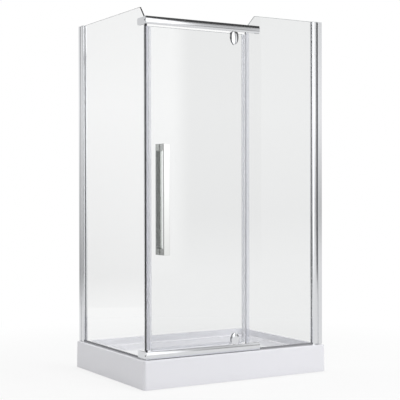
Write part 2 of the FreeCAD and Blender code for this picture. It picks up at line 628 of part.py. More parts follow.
def make_side_glass():
    """Side pane with its upper front corner cut off and four clamp holes."""
    body = new_body("side_glass")
    back = f"({BACK} - size.slot_floor - size.glass_seat_gap)"
    pane = [(FIXED_OUT, GLASS_BOTTOM), (back, GLASS_BOTTOM), (back, GLASS_TOP),
            (f"{FIXED_OUT} + size.corner_cut_across", GLASS_TOP),
            (FIXED_OUT, f"{GLASS_TOP} - size.corner_cut_down")]
    holes = [(y, z, "size.glass_hole_radius") for y in CLAMP_Y for z in FASTENER_LEVELS]
    pad(body, draw(body, "YZ_Plane", [pane] + holes, SIDE_OUT), "size.glass_thickness")
    edge_chamfer(body)
    return keep(body, "side_glass")


def make_fixed_glass():
    """Fixed front pane with its upper left corner cut off and four clip holes."""
    body = new_body("fixed_glass")
    right = f"({RIGHT} - size.slot_floor - size.glass_seat_gap)"
    pane = [(FIXED_LEFT, GLASS_BOTTOM), (right, GLASS_BOTTOM), (right, GLASS_TOP),
            (f"{FIXED_LEFT} + size.corner_cut_across", GLASS_TOP),
            (FIXED_LEFT, f"{GLASS_TOP} - size.corner_cut_down")]
    holes = [(x, f"{z} + size.clip_screw_rise", "size.glass_hole_radius")
             for x in CLIP_X for z in FASTENER_LEVELS]
    pad(body, draw(body, "XZ_Plane", [pane] + holes, f"-{FIXED_IN}"), "size.glass_thickness")
    edge_chamfer(body)
    return keep(body, "fixed_glass")


def make_door_glass():
    """Door leaf, bored for two hinges and the handle."""
    body = new_body("door_glass")
    pane = rounded_box(DOOR_LEFT, DOOR_BOTTOM, DOOR_RIGHT, DOOR_TOP, "size.door_corner_radius")
    holes = [(PIVOT_X, z, "size.glass_hole_radius")
             for z in TOP_HINGE_SCREWS + BOTTOM_HINGE_SCREWS]
    holes += [(HANDLE_MID_X, z, "size.glass_hole_radius") for z in POST_LEVELS]
    pad(body, draw(body, "XZ_Plane", [pane] + holes, f"-{DOOR_IN}"), "size.glass_thickness")
    edge_chamfer(body)
    return keep(body, "door_glass")


# ---------------------------------------------------------------- wall jambs
# A jamb is drawn with x running out of the wall and y across it, then turned to its wall.

def wall_channel(name, inner):
    """U channel screwed to the wall, with hooked lips and a row of fixing holes."""
    body = new_body(name)
    deep, half = "size.channel_depth", "size.channel_half_width"
    wall, lip = "size.channel_wall", "size.channel_lip"
    neck = f"{deep} - {wall}"
    section = [("0", f"-{half}"), (deep, f"-{half}"), (deep, f"-{half} + {wall} + {lip}"),
               (neck, f"-{half} + {wall} + {lip}"), (neck, f"-{half} + {wall}"),
               (wall, f"-{half} + {wall}"), (wall, f"{half} - {wall}"), (neck, f"{half} - {wall}"),
               (neck, f"{half} - {wall} - {lip}"), (deep, f"{half} - {wall} - {lip}"),
               (deep, half), ("0", half)]
    pad(body, draw(body, "XY_Plane", [section], RIM), f"{JAMB_TOP} - {RIM}")
    fixings = [("0", z, "size.wall_hole_radius") for z in WALL_HOLE_LEVELS]
    pocket(body, draw(body, "YZ_Plane", fixings, f"{wall} + size.running_gap"),
           f"{wall} + size.running_gap * 2")
    drill_jamb_screws(body, inner)
    return body


def drill_jamb_screws(body, inner):
    """Holes for the three locking screws, through the leg on the inner side only."""
    holes = [("size.jamb_screw_line", z, "size.jamb_screw_radius + size.fit_gap")
             for z in JAMB_SCREW_LEVELS]
    start = f"{-inner} * (size.channel_half_width + size.running_gap)"
    length = "size.channel_half_width + size.running_gap - size.slot_half_width"
    pocket(body, draw(body, "XZ_Plane", holes, start), length, backwards=(inner > 0))


def jamb_arc():
    """Radius of the pillow face, from its chord and crown."""
    chord = "(size.jamb_depth - size.channel_depth - size.running_gap)"
    rise = "(size.jamb_half_crown - (size.jamb_half_root + size.jamb_half_nose) / 2)"
    return f"(({chord} / 2) ^ 2 + {rise} ^ 2) / (2 * {rise})"


def panel_profile(name, inner):
    """Glazing profile: legs that slide in the wall channel, a pillow face and a glass slot."""
    body = new_body(name)
    wall, step = "size.jamb_wall", "(size.channel_depth + size.running_gap)"
    leg = "(size.channel_half_width - size.channel_wall - size.channel_lip - size.running_gap)"
    root, nose, slot = "size.jamb_half_root", "size.jamb_half_nose", "size.slot_half_width"
    deep, start, floor = "size.jamb_depth", "size.jamb_leg_start", "size.slot_floor"
    web, leg_inside = f"{floor} - {wall}", f"({leg} - {wall})"
    radius = jamb_arc()
    section = [
        (start, leg_inside), (start, leg), (step, leg), (step, root, radius, -1), (deep, nose),
        (deep, slot), (floor, slot), (floor, f"-{slot}"), (deep, f"-{slot}"),
        (deep, f"-{nose}", radius, -1), (step, f"-{root}"), (step, f"-{leg}"), (start, f"-{leg}"),
        (start, f"-{leg_inside}"), (web, f"-{leg_inside}"), (web, leg_inside),
    ]
    chambers = [panel_chamber(1), panel_chamber(-1)]
    pad(body, draw(body, "XY_Plane", [section] + chambers, RIM), f"{JAMB_TOP} - {RIM}")
    drill_jamb_screws(body, inner)
    return body


def panel_chamber(side):
    """Closed chamber between the glass slot and the pillow face, on one side."""
    wall = "size.jamb_wall"
    low, high = f"size.slot_half_width + {wall}", f"size.jamb_half_root - {wall}"
    near, far = "size.slot_floor", f"size.jamb_depth - {wall} * 2"
    corners = box_loop(near, low, far, high)
    return [(x, f"{side} * ({y})") for x, y in corners]


def glass_gasket(name):
    """U-shaped glazing gasket with a flared mouth, seated in the slot round the glass edge."""
    body = new_body(name)
    outer = "(size.slot_half_width - size.fit_gap)"
    inner = "(size.glass_thickness / 2 + size.fit_gap / 2)"
    floor = "size.slot_floor + size.fit_gap"
    seat = "(size.slot_floor + size.glass_seat_gap - size.fit_gap)"
    mouth = "(size.jamb_depth + size.gasket_lip_gap)"
    tip = f"({mouth} + size.gasket_lip_length)"
    flare = f"({outer} + size.gasket_lip_flare)"
    section = [(floor, f"-{outer}"), (mouth, f"-{outer}"), (mouth, f"-{flare}"),
               (tip, f"-{outer}"), (tip, f"-{inner}"), (seat, f"-{inner}"), (seat, inner),
               (tip, inner), (tip, outer), (mouth, flare), (mouth, outer), (floor, outer)]
    pad(body, draw(body, "XY_Plane", [section], GLASS_BOTTOM), f"{GLASS_TOP} - {GLASS_BOTTOM}")
    return body


def top_cap(name):
    """Moulded cap that closes the top of channel and profile, with two pegs in the chambers."""
    body = new_body(name)
    half, root, nose = "size.channel_half_width", "size.jamb_half_root", "size.jamb_half_nose"
    deep, step = "size.jamb_depth", "(size.channel_depth + size.running_gap)"
    slot, floor = "size.slot_half_width", "size.slot_floor"
    radius = jamb_arc()
    section = [("0", f"-{half}"), (step, f"-{half}"), (step, f"-{root}", radius, 1),
               (deep, f"-{nose}"), (deep, f"-{slot}"), (floor, f"-{slot}"), (floor, slot),
               (deep, slot), (deep, nose, radius, 1), (step, root), (step, half), ("0", half)]
    pad(body, draw(body, "XY_Plane", [section], JAMB_TOP), "size.cap_thickness")
    gap, wall = "size.fit_gap", "size.jamb_wall"
    for side in (1, -1):
        low = f"{side} * ({slot} + {wall} + {gap})"
        high = f"{side} * ({root} - {wall} - {gap})"
        peg = box_loop(f"{floor} + {gap}", low, f"{deep} - {wall} * 2 - {gap}", high)
        pad(body, draw(body, "XY_Plane", [peg], JAMB_TOP), "size.cap_peg", backwards=True)
    return body


def jamb_screw(name, inner):
    """Pan-head screw that locks the profile in the channel, lying across the jamb."""
    body = new_body(name)
    shank = ("size.jamb_screw_line", "0", "size.jamb_screw_radius")
    head = ("size.jamb_screw_line", "0", "size.jamb_screw_head_radius")
    face = f"{-inner} * size.channel_half_width"
    pad(body, draw(body, "XZ_Plane", [head], face), "size.jamb_screw_head_height",
        backwards=(inner > 0))
    length = "size.channel_half_width - size.slot_half_width - size.jamb_screw_tip_gap"
    pad(body, draw(body, "XZ_Plane", [shank], face), length, backwards=(inner < 0))
    head_end = inner * number("size.channel_half_width + size.jamb_screw_head_height")
    soften(body, "size.jamb_screw_head_height / 2", lambda edge: lies_at(edge, "Y", head_end))
    return body


def make_jamb(side, where, inner):
    """All the pieces of one wall jamb, placed at its wall."""
    keep(place(wall_channel(f"{side}_wall_channel", inner), **where), f"{side}_wall_channel")
    keep(place(panel_profile(f"{side}_panel_profile", inner), **where), f"{side}_panel_profile")
    keep(place(glass_gasket(f"{side}_glass_gasket"), **where), f"{side}_glass_gasket")
    keep(place(top_cap(f"{side}_top_cap"), **where), f"{side}_top_cap")
    screw = jamb_screw(f"{side}_jamb_screw", inner)
    copies(f"{side}_jamb_screws", screw, [dict(where, z=z) for z in JAMB_SCREW_LEVELS])


# ---------------------------------------------------------------- rails

def rail_outline(inset="0"):
    """Rail section: flat back at zero, convex front; inset moves every wall inwards."""
    bulge = f"(size.rail_bulge * (1 - 2 * ({inset}) / size.rail_height) ^ 2)"
    height = f"(size.rail_height - 2 * ({inset}))"
    shoulder = f"-(size.rail_depth - ({inset}) - {bulge})"
    radius = f"(({height} / 2) ^ 2 + {bulge} ^ 2) / (2 * {bulge})"
    top = f"size.rail_height - ({inset})"
    return [(f"-({inset})", inset), (shoulder, inset, radius, -1), (shoulder, top),
            (f"-({inset})", top)]


def make_rail(label, level, bush_at_top):
    """Extruded rail with a screw port along it, a pivot bush hole and clip screw holes."""
    body = new_body(label)
    length = f"{RAIL_RIGHT} - {RAIL_LEFT}"
    pad(body, draw(body, "YZ_Plane", [rail_outline()]), length)
    soften(body, "size.rail_edge_radius",
           lambda edge: runs_along(edge, (1, 0, 0)) and is_rail_corner(edge))
    pocket(body, draw(body, "YZ_Plane", [rail_outline("size.rail_wall")]), length, backwards=True)
    port_y, port_z = "-size.port_from_back", "size.rail_height / 2"
    web = box_loop(port_y, f"{port_z} - size.port_web_half", "-size.rail_wall / 2",
                   f"{port_z} + size.port_web_half")
    pad(body, draw(body, "YZ_Plane", [web]), length)
    pad(body, draw(body, "YZ_Plane", [(port_y, port_z, "size.port_radius")]), length)
    pocket(body, draw(body, "YZ_Plane", [(port_y, port_z, "size.port_bore_radius")]), length,
           backwards=True)
    bush = (f"{PIVOT_X} - {RAIL_LEFT}", "-size.rail_depth / 2", "size.bush_radius + size.fit_gap")
    if bush_at_top:
        pocket(body, draw(body, "XY_Plane", [bush], "size.rail_height"), "size.rail_wall * 1.5")
    else:
        pocket(body, draw(body, "XY_Plane", [bush]), "size.rail_wall * 1.5", backwards=True)
    holes = [(f"{x} - {RAIL_LEFT}", "size.rail_height / 2 + size.clip_screw_rise",
              "size.clamp_screw_radius + size.fit_gap") for x in CLIP_X]
    pocket(body, draw(body, "XZ_Plane", holes), "size.rail_wall * 1.5", backwards=True)
    place(body, RAIL_LEFT, RAIL_BACK, level)
    return keep(body, label)


def is_rail_corner(edge):
    """True for an edge at the rail's top or bottom face."""
    box = edge.BoundBox
    height = number("size.rail_height")
    return min(abs(box.ZMin), abs(box.ZMin - height)) < 0.01


def make_rails():
    """Bottom and top rail, and the gasket that the bottom one stands on."""
    make_rail("bottom_rail", LOW_RAIL, True)
    make_rail("top_rail", HIGH_RAIL, False)
    gasket = new_body("threshold_gasket")
    inset = "size.threshold_inset"
    strip = box_loop(f"{RAIL_LEFT} + {inset}", f"{RAIL_FRONT} + size.rail_bulge",
                     f"{RAIL_RIGHT} - {inset}", f"{RAIL_BACK} - {inset}")
    pad(gasket, draw(gasket, "XY_Plane", [strip], RIM), "size.threshold_gasket")
    keep(gasket, "threshold_gasket")


def make_rail_end_caps():
    """Caps that close the free ends of both rails, each with a plug and a tab on the door's side."""
    caps = []
    tall, rise = "size.rail_height", "size.cap_tab_rise"
    for name, level, tab_low, tab_high in (
            ("bottom_rail_cap", LOW_RAIL, tall, f"{tall} + {rise}"),
            ("top_rail_cap", HIGH_RAIL, f"-{rise}", "0")):
        cap = new_body(name)
        pad(cap, draw(cap, "YZ_Plane", [rail_outline()]), "size.rail_cap_thickness")
        soften(cap, "size.rail_edge_radius",
               lambda edge: runs_along(edge, (1, 0, 0)) and is_rail_corner(edge))
        plug = "size.rail_wall + size.fit_gap"
        ring = [rail_outline(plug), rail_outline(f"{plug} + size.rail_cap_plug_wall")]
        pad(cap, draw(cap, "YZ_Plane", ring), "size.rail_cap_plug", backwards=True)
        middle, half = "size.rail_height / 2", "(size.port_radius + size.running_gap)"
        deep = f"-({plug} + size.rail_cap_plug_wall + size.fit_gap)"
        port_notch = box_loop(deep, f"{middle} - {half}",
                              "-size.rail_wall + size.running_gap", f"{middle} + {half}")
        pocket(cap, draw(cap, "YZ_Plane", [port_notch]), "size.rail_cap_plug")
        tab = box_loop("-size.rail_depth + size.rail_bulge + size.rail_edge_radius * 2", tab_low,
                       "-size.rail_edge_radius * 2", tab_high)
        pad(cap, draw(cap, "YZ_Plane", [tab], "size.rail_cap_thickness"), "size.cap_tab_length",
            backwards=True)
        caps.append(place(cap, RAIL_RIGHT, RAIL_BACK, level))
    return gather("rail_end_caps", caps)


def make_pivot_bushes():
    """Flanged bushes in the rails; the door's pins turn in them."""
    bush = new_body("pivot_bush")
    bore = "size.pin_radius + size.pin_running_gap"
    profile = [(bore, "0"), ("size.bush_flange_radius", "0"),
               ("size.bush_flange_radius", "size.bush_flange_thickness"),
               ("size.bush_radius", "size.bush_flange_thickness"),
               ("size.bush_radius", "size.bush_length"), (bore, "size.bush_length")]
    revolve(bush, draw(bush, "XZ_Plane", [profile]))
    upper = dict(x=PIVOT_X, y=RAIL_MID, z=f"{HIGH_RAIL} - size.bush_flange_thickness")
    lower = dict(x=PIVOT_X, y=RAIL_MID, z=f"{LOW_RAIL_TOP} + size.bush_flange_thickness",
                 turn=180, axis=(1, 0, 0))
    return copies("pivot_bushes", bush, [upper, lower])


# ---------------------------------------------------------------- clamps on the side glass

def make_corner_clamp(label, level):
    """Cast corner: an end block that follows the rail, and a leaf along the side glass."""
    block = new_body(label + "_block")
    length = "size.clamp_thickness + size.pad_thickness + size.rail_end_inset"
    pad(block, draw(block, "YZ_Plane", [rail_outline()]), length)
    soften(block, "size.rail_edge_radius", lambda edge: lies_at(edge, "X", 0)
           or (runs_along(edge, (1, 0, 0)) and is_rail_corner(edge)))

    leaf = new_body(label + "_leaf")
    low = "(size.rail_height - size.clamp_height) / 2"
    high = f"(size.rail_height - {low})"
    radius = "size.clamp_corner_radius"
    back = "(size.clamp_reach + size.pad_thickness)"
    outline = [("-size.rail_depth / 2", low), (f"{back} - {radius}", low, radius, 1),
               (back, f"{low} + {radius}"), (back, f"{high} - {radius}", radius, 1),
               (f"{back} - {radius}", high), ("-size.rail_depth / 2", high)]
    pad(leaf, draw(leaf, "YZ_Plane", [outline]), "size.clamp_thickness")
    soften(leaf, "size.rail_edge_radius", lambda edge: lies_at(edge, "X", 0))

    casting = doc.addObject("Part::Fuse", label + "_casting")
    casting.Base, casting.Tool = block, leaf
    drill = new_body(label + "_holes")
    bites = [(f"{y} - {RAIL_BACK}", "size.rail_height / 2", "size.clamp_screw_radius + size.fit_gap")
             for y in CLAMP_Y]
    beyond = "size.pad_thickness"
    pad(drill, draw(drill, "YZ_Plane", bites, "size.clamp_thickness - size.clamp_screw_bite"),
        f"size.clamp_screw_bite + {beyond}")
    port = ("-size.port_from_back", "size.rail_height / 2")
    pad(drill, draw(drill, "YZ_Plane", [(*port, "size.end_screw_radius + size.fit_gap")]),
        f"{length} + {beyond}")
    head = (*port, "size.end_screw_head_radius + size.fit_gap")
    pad(drill, draw(drill, "YZ_Plane", [head], f"-{beyond}"),
        f"size.end_screw_head_height + size.end_screw_sink + {beyond}")
    clamp = doc.addObject("Part::Cut", label)
    clamp.Base, clamp.Tool = casting, drill
    x = f"{SIDE_OUT} - size.pad_thickness - size.clamp_thickness"
    return keep(place(clamp, x, RAIL_BACK, level), label)


def clamp_plate(name, thickness, hole):
    """Flat plate or pad with rounded corners and the two clamp holes, drawn from the glass edge."""
    body = new_body(name)
    low, high = "-size.clamp_height / 2", "size.clamp_height / 2"
    outline = rounded_box("size.clamp_corner_radius", low, "size.clamp_reach", high,
                          "size.clamp_corner_radius")
    holes = [(f"{y} - {FIXED_OUT}", "0", hole) for y in CLAMP_Y]
    pad(body, draw(body, "YZ_Plane", [outline] + holes), thickness)
    return body


def make_clamp_pieces():
    """Inner plates, rubber pads, clamp screws and the screws that hold the rails' ends."""
    screw_hole = "size.clamp_screw_radius + size.fit_gap"
    plate = clamp_plate("corner_clamp_plate", "size.clamp_plate_thickness", screw_hole)
    plate_x = f"{SIDE_IN} + size.pad_thickness"
    copies("corner_clamp_plates", plate,
           [dict(x=plate_x, y=FIXED_OUT, z=z) for z in FASTENER_LEVELS])

    rubber = clamp_plate("corner_clamp_pad", "size.pad_thickness", screw_hole)
    faces = (f"{SIDE_OUT} - size.pad_thickness", SIDE_IN)
    copies("corner_clamp_pads", rubber,
           [dict(x=x, y=FIXED_OUT, z=z) for x in faces for z in FASTENER_LEVELS])

    screw = new_body("corner_clamp_screw")
    reach = ("size.clamp_plate_thickness + size.pad_thickness * 2 + size.glass_thickness"
             " + size.clamp_screw_bite - size.running_gap")
    screw_profile(screw, reach)
    head_x = f"{plate_x} + size.clamp_plate_thickness"
    copies("corner_clamp_screws", screw,
           [dict(x=head_x, y=y, z=z, turn=90, axis=(0, 1, 0))
            for y in CLAMP_Y for z in FASTENER_LEVELS])

    end_screw = new_body("rail_end_screw")
    radius, head = "size.end_screw_radius", "size.end_screw_head_radius"
    tall, edge = "size.end_screw_head_height", "size.screw_head_edge"
    profile = [("0", "-size.end_screw_bite"), (radius, "-size.end_screw_bite"), (radius, "0"),
               (head, "0"), (head, f"{tall} - {edge}"), (f"{head} - {edge}", tall),
               (radius, tall), (radius, f"{tall} / 2"), ("0", f"{tall} / 2")]
    revolve(end_screw, draw(end_screw, "XZ_Plane", [profile]))
    x = (f"{SIDE_OUT} - size.pad_thickness - size.clamp_thickness"
         " + size.end_screw_head_height + size.end_screw_sink")
    y = f"{RAIL_BACK} - size.port_from_back"
    copies("rail_end_screws", end_screw,
           [dict(x=x, y=y, z=z, turn=-90, axis=(0, 1, 0)) for z in FASTENER_LEVELS])


def screw_profile(body, reach):
    """Dome-head screw along z, with its head's seat at zero and a driver recess."""
    radius, head, tall = "size.clamp_screw_radius", "size.dome_head_radius", "size.dome_head_height"
    recess, floor = "size.driver_recess_radius", f"{tall} - size.driver_recess_depth"
    profile = [("0", f"-({reach})"), (radius, f"-({reach})"), (radius, "0"), (head, "0"),
               (head, "size.dome_head_rim"), ("size.dome_head_flat_radius", tall), (recess, tall),
               (recess, floor), ("0", floor)]
    revolve(body, draw(body, "XZ_Plane", [profile]))


# ---------------------------------------------------------------- clips behind the rails

def clip_plate(name, thickness):
    """Plate or pad behind the rail's end, with two screw holes, drawn from its left edge."""
    body = new_body(name)
    low, high = "-size.clamp_height / 2", "size.clamp_height / 2"
    outline = rounded_box("0", low, "size.clip_length", high, "size.clamp_corner_radius")
    radius = "size.clamp_screw_radius + size.fit_gap"
    holes = [(f"{x} - {CLIP_LEFT}", "size.clip_screw_rise", radius) for x in CLIP_X]
    pad(body, draw(body, "XZ_Plane", [outline] + holes), thickness, backwards=True)
    return body


def make_clips():
    """Rear plates, pads and screws that hold the fixed glass against both rails."""
    rubber = clip_plate("glass_clip_pad", "size.pad_thickness")
    copies("glass_clip_pads", rubber,
           [dict(x=CLIP_LEFT, y=y, z=z) for y in (RAIL_BACK, FIXED_IN) for z in FASTENER_LEVELS])
    plate = clip_plate("glass_clip_plate", "size.clip_plate_thickness")
    plate_y = f"{FIXED_IN} + size.pad_thickness"
    copies("glass_clip_plates", plate,
           [dict(x=CLIP_LEFT, y=plate_y, z=z) for z in FASTENER_LEVELS])
    screw = new_body("glass_clip_screw")
    reach = ("size.clip_plate_thickness + size.pad_thickness * 2 + size.glass_thickness"
             " + size.clip_screw_bite")
    screw_profile(screw, reach)
    head_y = f"{plate_y} + size.clip_plate_thickness"
    copies("glass_clip_screws", screw,
           [dict(x=x, y=head_y, z=f"{z} + size.clip_screw_rise", turn=-90, axis=(1, 0, 0))
            for x in CLIP_X for z in FASTENER_LEVELS])


# ---------------------------------------------------------------- seals on the fixed panes

def edge_channel(label, role, low, high, lift, length, backwards=False):
    """U-shaped strip round a pane's bottom edge, drawn across the pane from low to high."""
    body = new_body(label)
    leg, grip = "size.seal_leg", "size.seal_grip"
    web = f"({RIM} + size.seal_web)"
    top = f"({web} + size.seal_rise)"
    section = [(f"{low} - {grip} - {leg}", RIM), (f"{high} + {grip} + {leg}", RIM),
               (f"{high} + {grip} + {leg}", top), (f"{high} + {grip}", top),
               (f"{high} + {grip}", web), (f"{low} - {grip}", web), (f"{low} - {grip}", top),
               (f"{low} - {grip} - {leg}", top)]
    pad(body, draw(body, role, [section], lift), length, backwards=backwards)
    return keep(body, label)


def make_bottom_seals():
    """Strips under both fixed panes, from clamp or rail to the jamb."""
    start, end = f"({CLAMP_BACK} + size.seal_end_gap)", f"({BACK} - {SEAL_INSET})"
    edge_channel("side_bottom_seal", "XZ_Plane", SIDE_OUT, SIDE_IN, f"-{start}",
                 f"{end} - {start}", backwards=True)
    start, end = f"({RAIL_RIGHT} + size.seal_end_gap)", f"({RIGHT} - {SEAL_INSET})"
    edge_channel("fixed_bottom_seal", "YZ_Plane", FIXED_OUT, FIXED_IN, start, f"{end} - {start}")


def make_strike_seal():
    """Magnetic strip on the front edge of the side glass, which the door closes against."""
    body = new_body("strike_seal")
    leg, grip = "size.clip_leg", "size.seal_grip"
    left, right = f"{SIDE_OUT} - {grip} - {leg}", f"{SIDE_IN} + {grip} + {leg}"
    front, web = f"({FIXED_OUT} - size.strike_web)", f"{FIXED_OUT} - {grip}"
    tip = f"{FIXED_OUT} + size.magnet_leg_length"
    section = [(left, front), (right, front), (right, tip), (f"{SIDE_IN} + {grip}", tip),
               (f"{SIDE_IN} + {grip}", web), (f"{SIDE_OUT} - {grip}", web),
               (f"{SIDE_OUT} - {grip}", tip), (left, tip)]
    half, pocket_front = "size.magnet_width / 2", f"{front} + size.running_gap"
    chamber = box_loop(f"{SIDE_MID} - {half}", pocket_front, f"{SIDE_MID} + {half}",
                       f"{pocket_front} + size.magnet_depth")
    low = f"({LOW_RAIL_TOP} + size.seal_end_gap)"
    high = f"({HIGH_RAIL} - size.seal_end_gap)"
    pad(body, draw(body, "XY_Plane", [section, chamber], low), f"{high} - {low}")
    keep(body, "strike_seal")
    magnet = new_body("strike_magnet")
    gap = "size.fit_gap"
    bar = box_loop(f"{SIDE_MID} - {half} + {gap}", f"{pocket_front} + {gap}",
                   f"{SIDE_MID} + {half} - {gap}", f"{pocket_front} + size.magnet_depth - {gap}")
    pad(magnet, draw(magnet, "XY_Plane", [bar], low), f"{high} - {low}")
    keep(magnet, "strike_magnet")


def make_fixed_edge_seal():
    """Strip on the free edge of the fixed front glass, with a lip towards the door."""
    body = new_body("fixed_edge_seal")
    leg, grip, lip = "size.seal_leg", "size.seal_grip", "size.fin_thickness"
    outer, inner = f"{FIXED_OUT} - {grip} - {leg}", f"{FIXED_IN} + {grip} + {leg}"
    edge = f"({FIXED_LEFT} - {grip})"
    left, right = f"{edge} - {lip}", f"{FIXED_LEFT} + size.fixed_leg_length"
    section = [(left, DOOR_IN), (edge, DOOR_IN), (edge, outer), (right, outer),
               (right, f"{FIXED_OUT} - {grip}"), (edge, f"{FIXED_OUT} - {grip}"),
               (edge, f"{FIXED_IN} + {grip}"), (right, f"{FIXED_IN} + {grip}"), (right, inner),
               (left, inner)]
    low = f"({LOW_RAIL_TOP} + size.seal_end_gap)"
    high = f"({HIGH_RAIL} - size.seal_end_gap)"
    pad(body, draw(body, "XY_Plane", [section], low), f"{high} - {low}")
    return keep(body, "fixed_edge_seal")


# ---------------------------------------------------------------- door hardware

def tongue_loop(length, inset="0", cut=None):
    """Bullet outline hanging from its root at zero; flanks and tip meet in tangency.

    The root has round shoulders, or ends squarely at a distance cut below zero.
    """
    half = f"(size.hinge_width / 2 - ({inset}))"
    shoulder = "size.hinge_shoulder_radius"
    root, waist = f"-({inset})", "-size.hinge_waist"
    tip_radius = f"(size.hinge_tip_radius - ({inset}))"
    drop = f"(({length}) - size.hinge_waist - size.hinge_tip_radius)"
    flank = f"(({half} ^ 2 + {drop} ^ 2 - {tip_radius} ^ 2) / (2 * ({half} - {tip_radius})))"
    ratio = f"({flank} / ({flank} - {tip_radius}))"
    touch_x = f"(({flank} - {half}) * ({ratio} - 1))"
    touch_z = f"({waist} - {drop} * {ratio})"
    bullet = [(f"-{half}", waist, flank, 1), (f"-{touch_x}", touch_z, tip_radius, 1),
              (touch_x, touch_z, flank, 1), (half, waist)]
    if cut is not None:
        return [(f"-{half}", f"-({cut})")] + bullet + [(half, f"-({cut})")]
    return ([(f"-{half} + {shoulder}", root, shoulder, 1), (f"-{half}", f"{root} - {shoulder}")]
            + bullet
            + [(half, f"{root} - {shoulder}", shoulder, 1), (f"{half} - {shoulder}", root)])


def make_tongue(label, length, glass_gap, where, screws):
    """Convex hinge casting: a pillowed tongue on the outer face, with the pivot block behind it."""
    prism = new_body(label + "_prism")
    pad(prism, draw(prism, "XZ_Plane", [tongue_loop(length)]), "size.hinge_crown")
    pillow = doc.addObject("Part::Ellipsoid", label + "_pillow")
    pillow.Angle1, pillow.Angle2, pillow.Angle3 = -90, 90, 360
    bind(pillow, Radius1=f"{length} * size.pillow_length_share",
         Radius2="size.hinge_width * size.pillow_width_share", Radius3="size.hinge_crown")
    place(pillow, z=f"-{length} * size.pillow_centre_share")
    shell = doc.addObject("Part::Common", label + "_shell")
    shell.Base, shell.Tool = prism, pillow

    block = new_body(label + "_block")
    half = "size.hinge_block_half_width"
    deep = "size.glass_thickness + size.pad_thickness * 2"
    tall = f"{glass_gap} - size.hinge_rail_gap - size.pad_thickness"
    outline = box_loop(f"-{half}", f"-({tall})", half, "0")
    pad(block, draw(block, "XZ_Plane", [outline], "size.hinge_block_root"),
        f"{deep} + size.hinge_block_root", backwards=True)
    casting = doc.addObject("Part::Fuse", label + "_casting")
    casting.Base, casting.Tool = shell, block

    tools = new_body(label + "_holes")
    socket = ("0", "size.glass_thickness / 2 + size.pad_thickness", "size.pin_radius")
    depth = f"({tall} - size.pin_socket_floor)"
    pad(tools, draw(tools, "XY_Plane", [socket], f"-{depth}"), f"{depth} + size.pad_thickness")
    holes = [("0", z, "size.hinge_screw_radius + size.fit_gap") for z in screws]
    pad(tools, draw(tools, "XZ_Plane", holes, "-size.pad_thickness"),
        "size.hinge_screw_bite + size.pad_thickness * 2")
    casting_cut = doc.addObject("Part::Cut", label + "_cut")
    casting_cut.Base, casting_cut.Tool = casting, tools
    return keep(place(casting_cut, **where), label)


def make_hinges():
    """Top and bottom pivot hinges: outer tongues, inner plates, gaskets, screws and pins."""
    face = f"({DOOR_OUT} - size.pad_thickness)"
    step = "size.hinge_screw_pitch"
    screws = ["-size.hinge_screw_from_root", f"-size.hinge_screw_from_root - {step}"]
    top = dict(x=PIVOT_X, y=face, z=TOP_ROOT)
    make_tongue("top_hinge_tongue", "size.top_hinge_length", "size.door_gap_top", top, screws)
    bottom = dict(x=PIVOT_X, y=face, z=BOTTOM_ROOT, turn=180, axis=(0, 1, 0))
    make_tongue("bottom_hinge_tongue", "size.bottom_hinge_length", "size.door_gap_bottom",
                bottom, screws)

    plates, gaskets = [], []
    for name, length, root, glass_gap, flip in (
            ("top", "size.top_hinge_length", TOP_ROOT, "size.door_gap_top", False),
            ("bottom", "size.bottom_hinge_length", BOTTOM_ROOT, "size.door_gap_bottom", True)):
        cut = f"{glass_gap} - size.hinge_rail_gap"
        thickness = "size.hinge_plate_thickness"
        plate = hinge_plate(f"{name}_hinge_plate", length, thickness, screws, flip)
        soften(plate, "size.hinge_edge_radius",
               lambda edge: lies_at(edge, "Y", number(thickness)))
        plates.append(place(plate, PIVOT_X, f"{DOOR_IN} + size.pad_thickness", root))
        for spot, y in (("outer", face), ("inner", DOOR_IN)):
            gasket = hinge_plate(f"{name}_{spot}_gasket", length, "size.pad_thickness", screws, flip,
                                 inset="size.gasket_inset", cut=cut)
            gaskets.append(place(gasket, PIVOT_X, y, root))
    gather("hinge_inner_plates", plates)
    gather("hinge_gaskets", gaskets)

    screw = new_body("hinge_screw")
    reach = ("size.hinge_plate_thickness + size.pad_thickness * 2 + size.glass_thickness"
             " + size.hinge_screw_bite")
    screw_profile(screw, reach)
    head_y = f"{DOOR_IN} + size.pad_thickness + size.hinge_plate_thickness"
    copies("hinge_screws", screw,
           [dict(x=PIVOT_X, y=head_y, z=z, turn=-90, axis=(1, 0, 0))
            for z in TOP_HINGE_SCREWS + BOTTOM_HINGE_SCREWS])
    gather("pivot_pins", [
        pivot_pin("top_pivot_pin", "size.door_gap_top", TOP_ROOT, True),
        pivot_pin("bottom_pivot_pin", "size.door_gap_bottom", BOTTOM_ROOT, False),
    ])


def hinge_plate(name, length, thickness, screws, flip, inset="0", cut=None):
    """Tongue-shaped plate or gasket; a gasket is set in a little and stops at the glass edge."""
    body = new_body(name)
    holes = [("0", z, "size.hinge_screw_radius + size.fit_gap") for z in screws]
    loops = [tongue_loop(length, inset, cut)] + holes
    if flip:
        loops = [flipped(loop) for loop in loops]
    pad(body, draw(body, "XZ_Plane", loops), thickness, backwards=True)
    return body


def flipped(loop):
    """A loop or circle turned half round in its plane."""
    if isinstance(loop, tuple):
        return (f"-({loop[0]})", f"-({loop[1]})", loop[2])
    return [(f"-({corner[0]})", f"-({corner[1]})", *corner[2:]) for corner in loop]


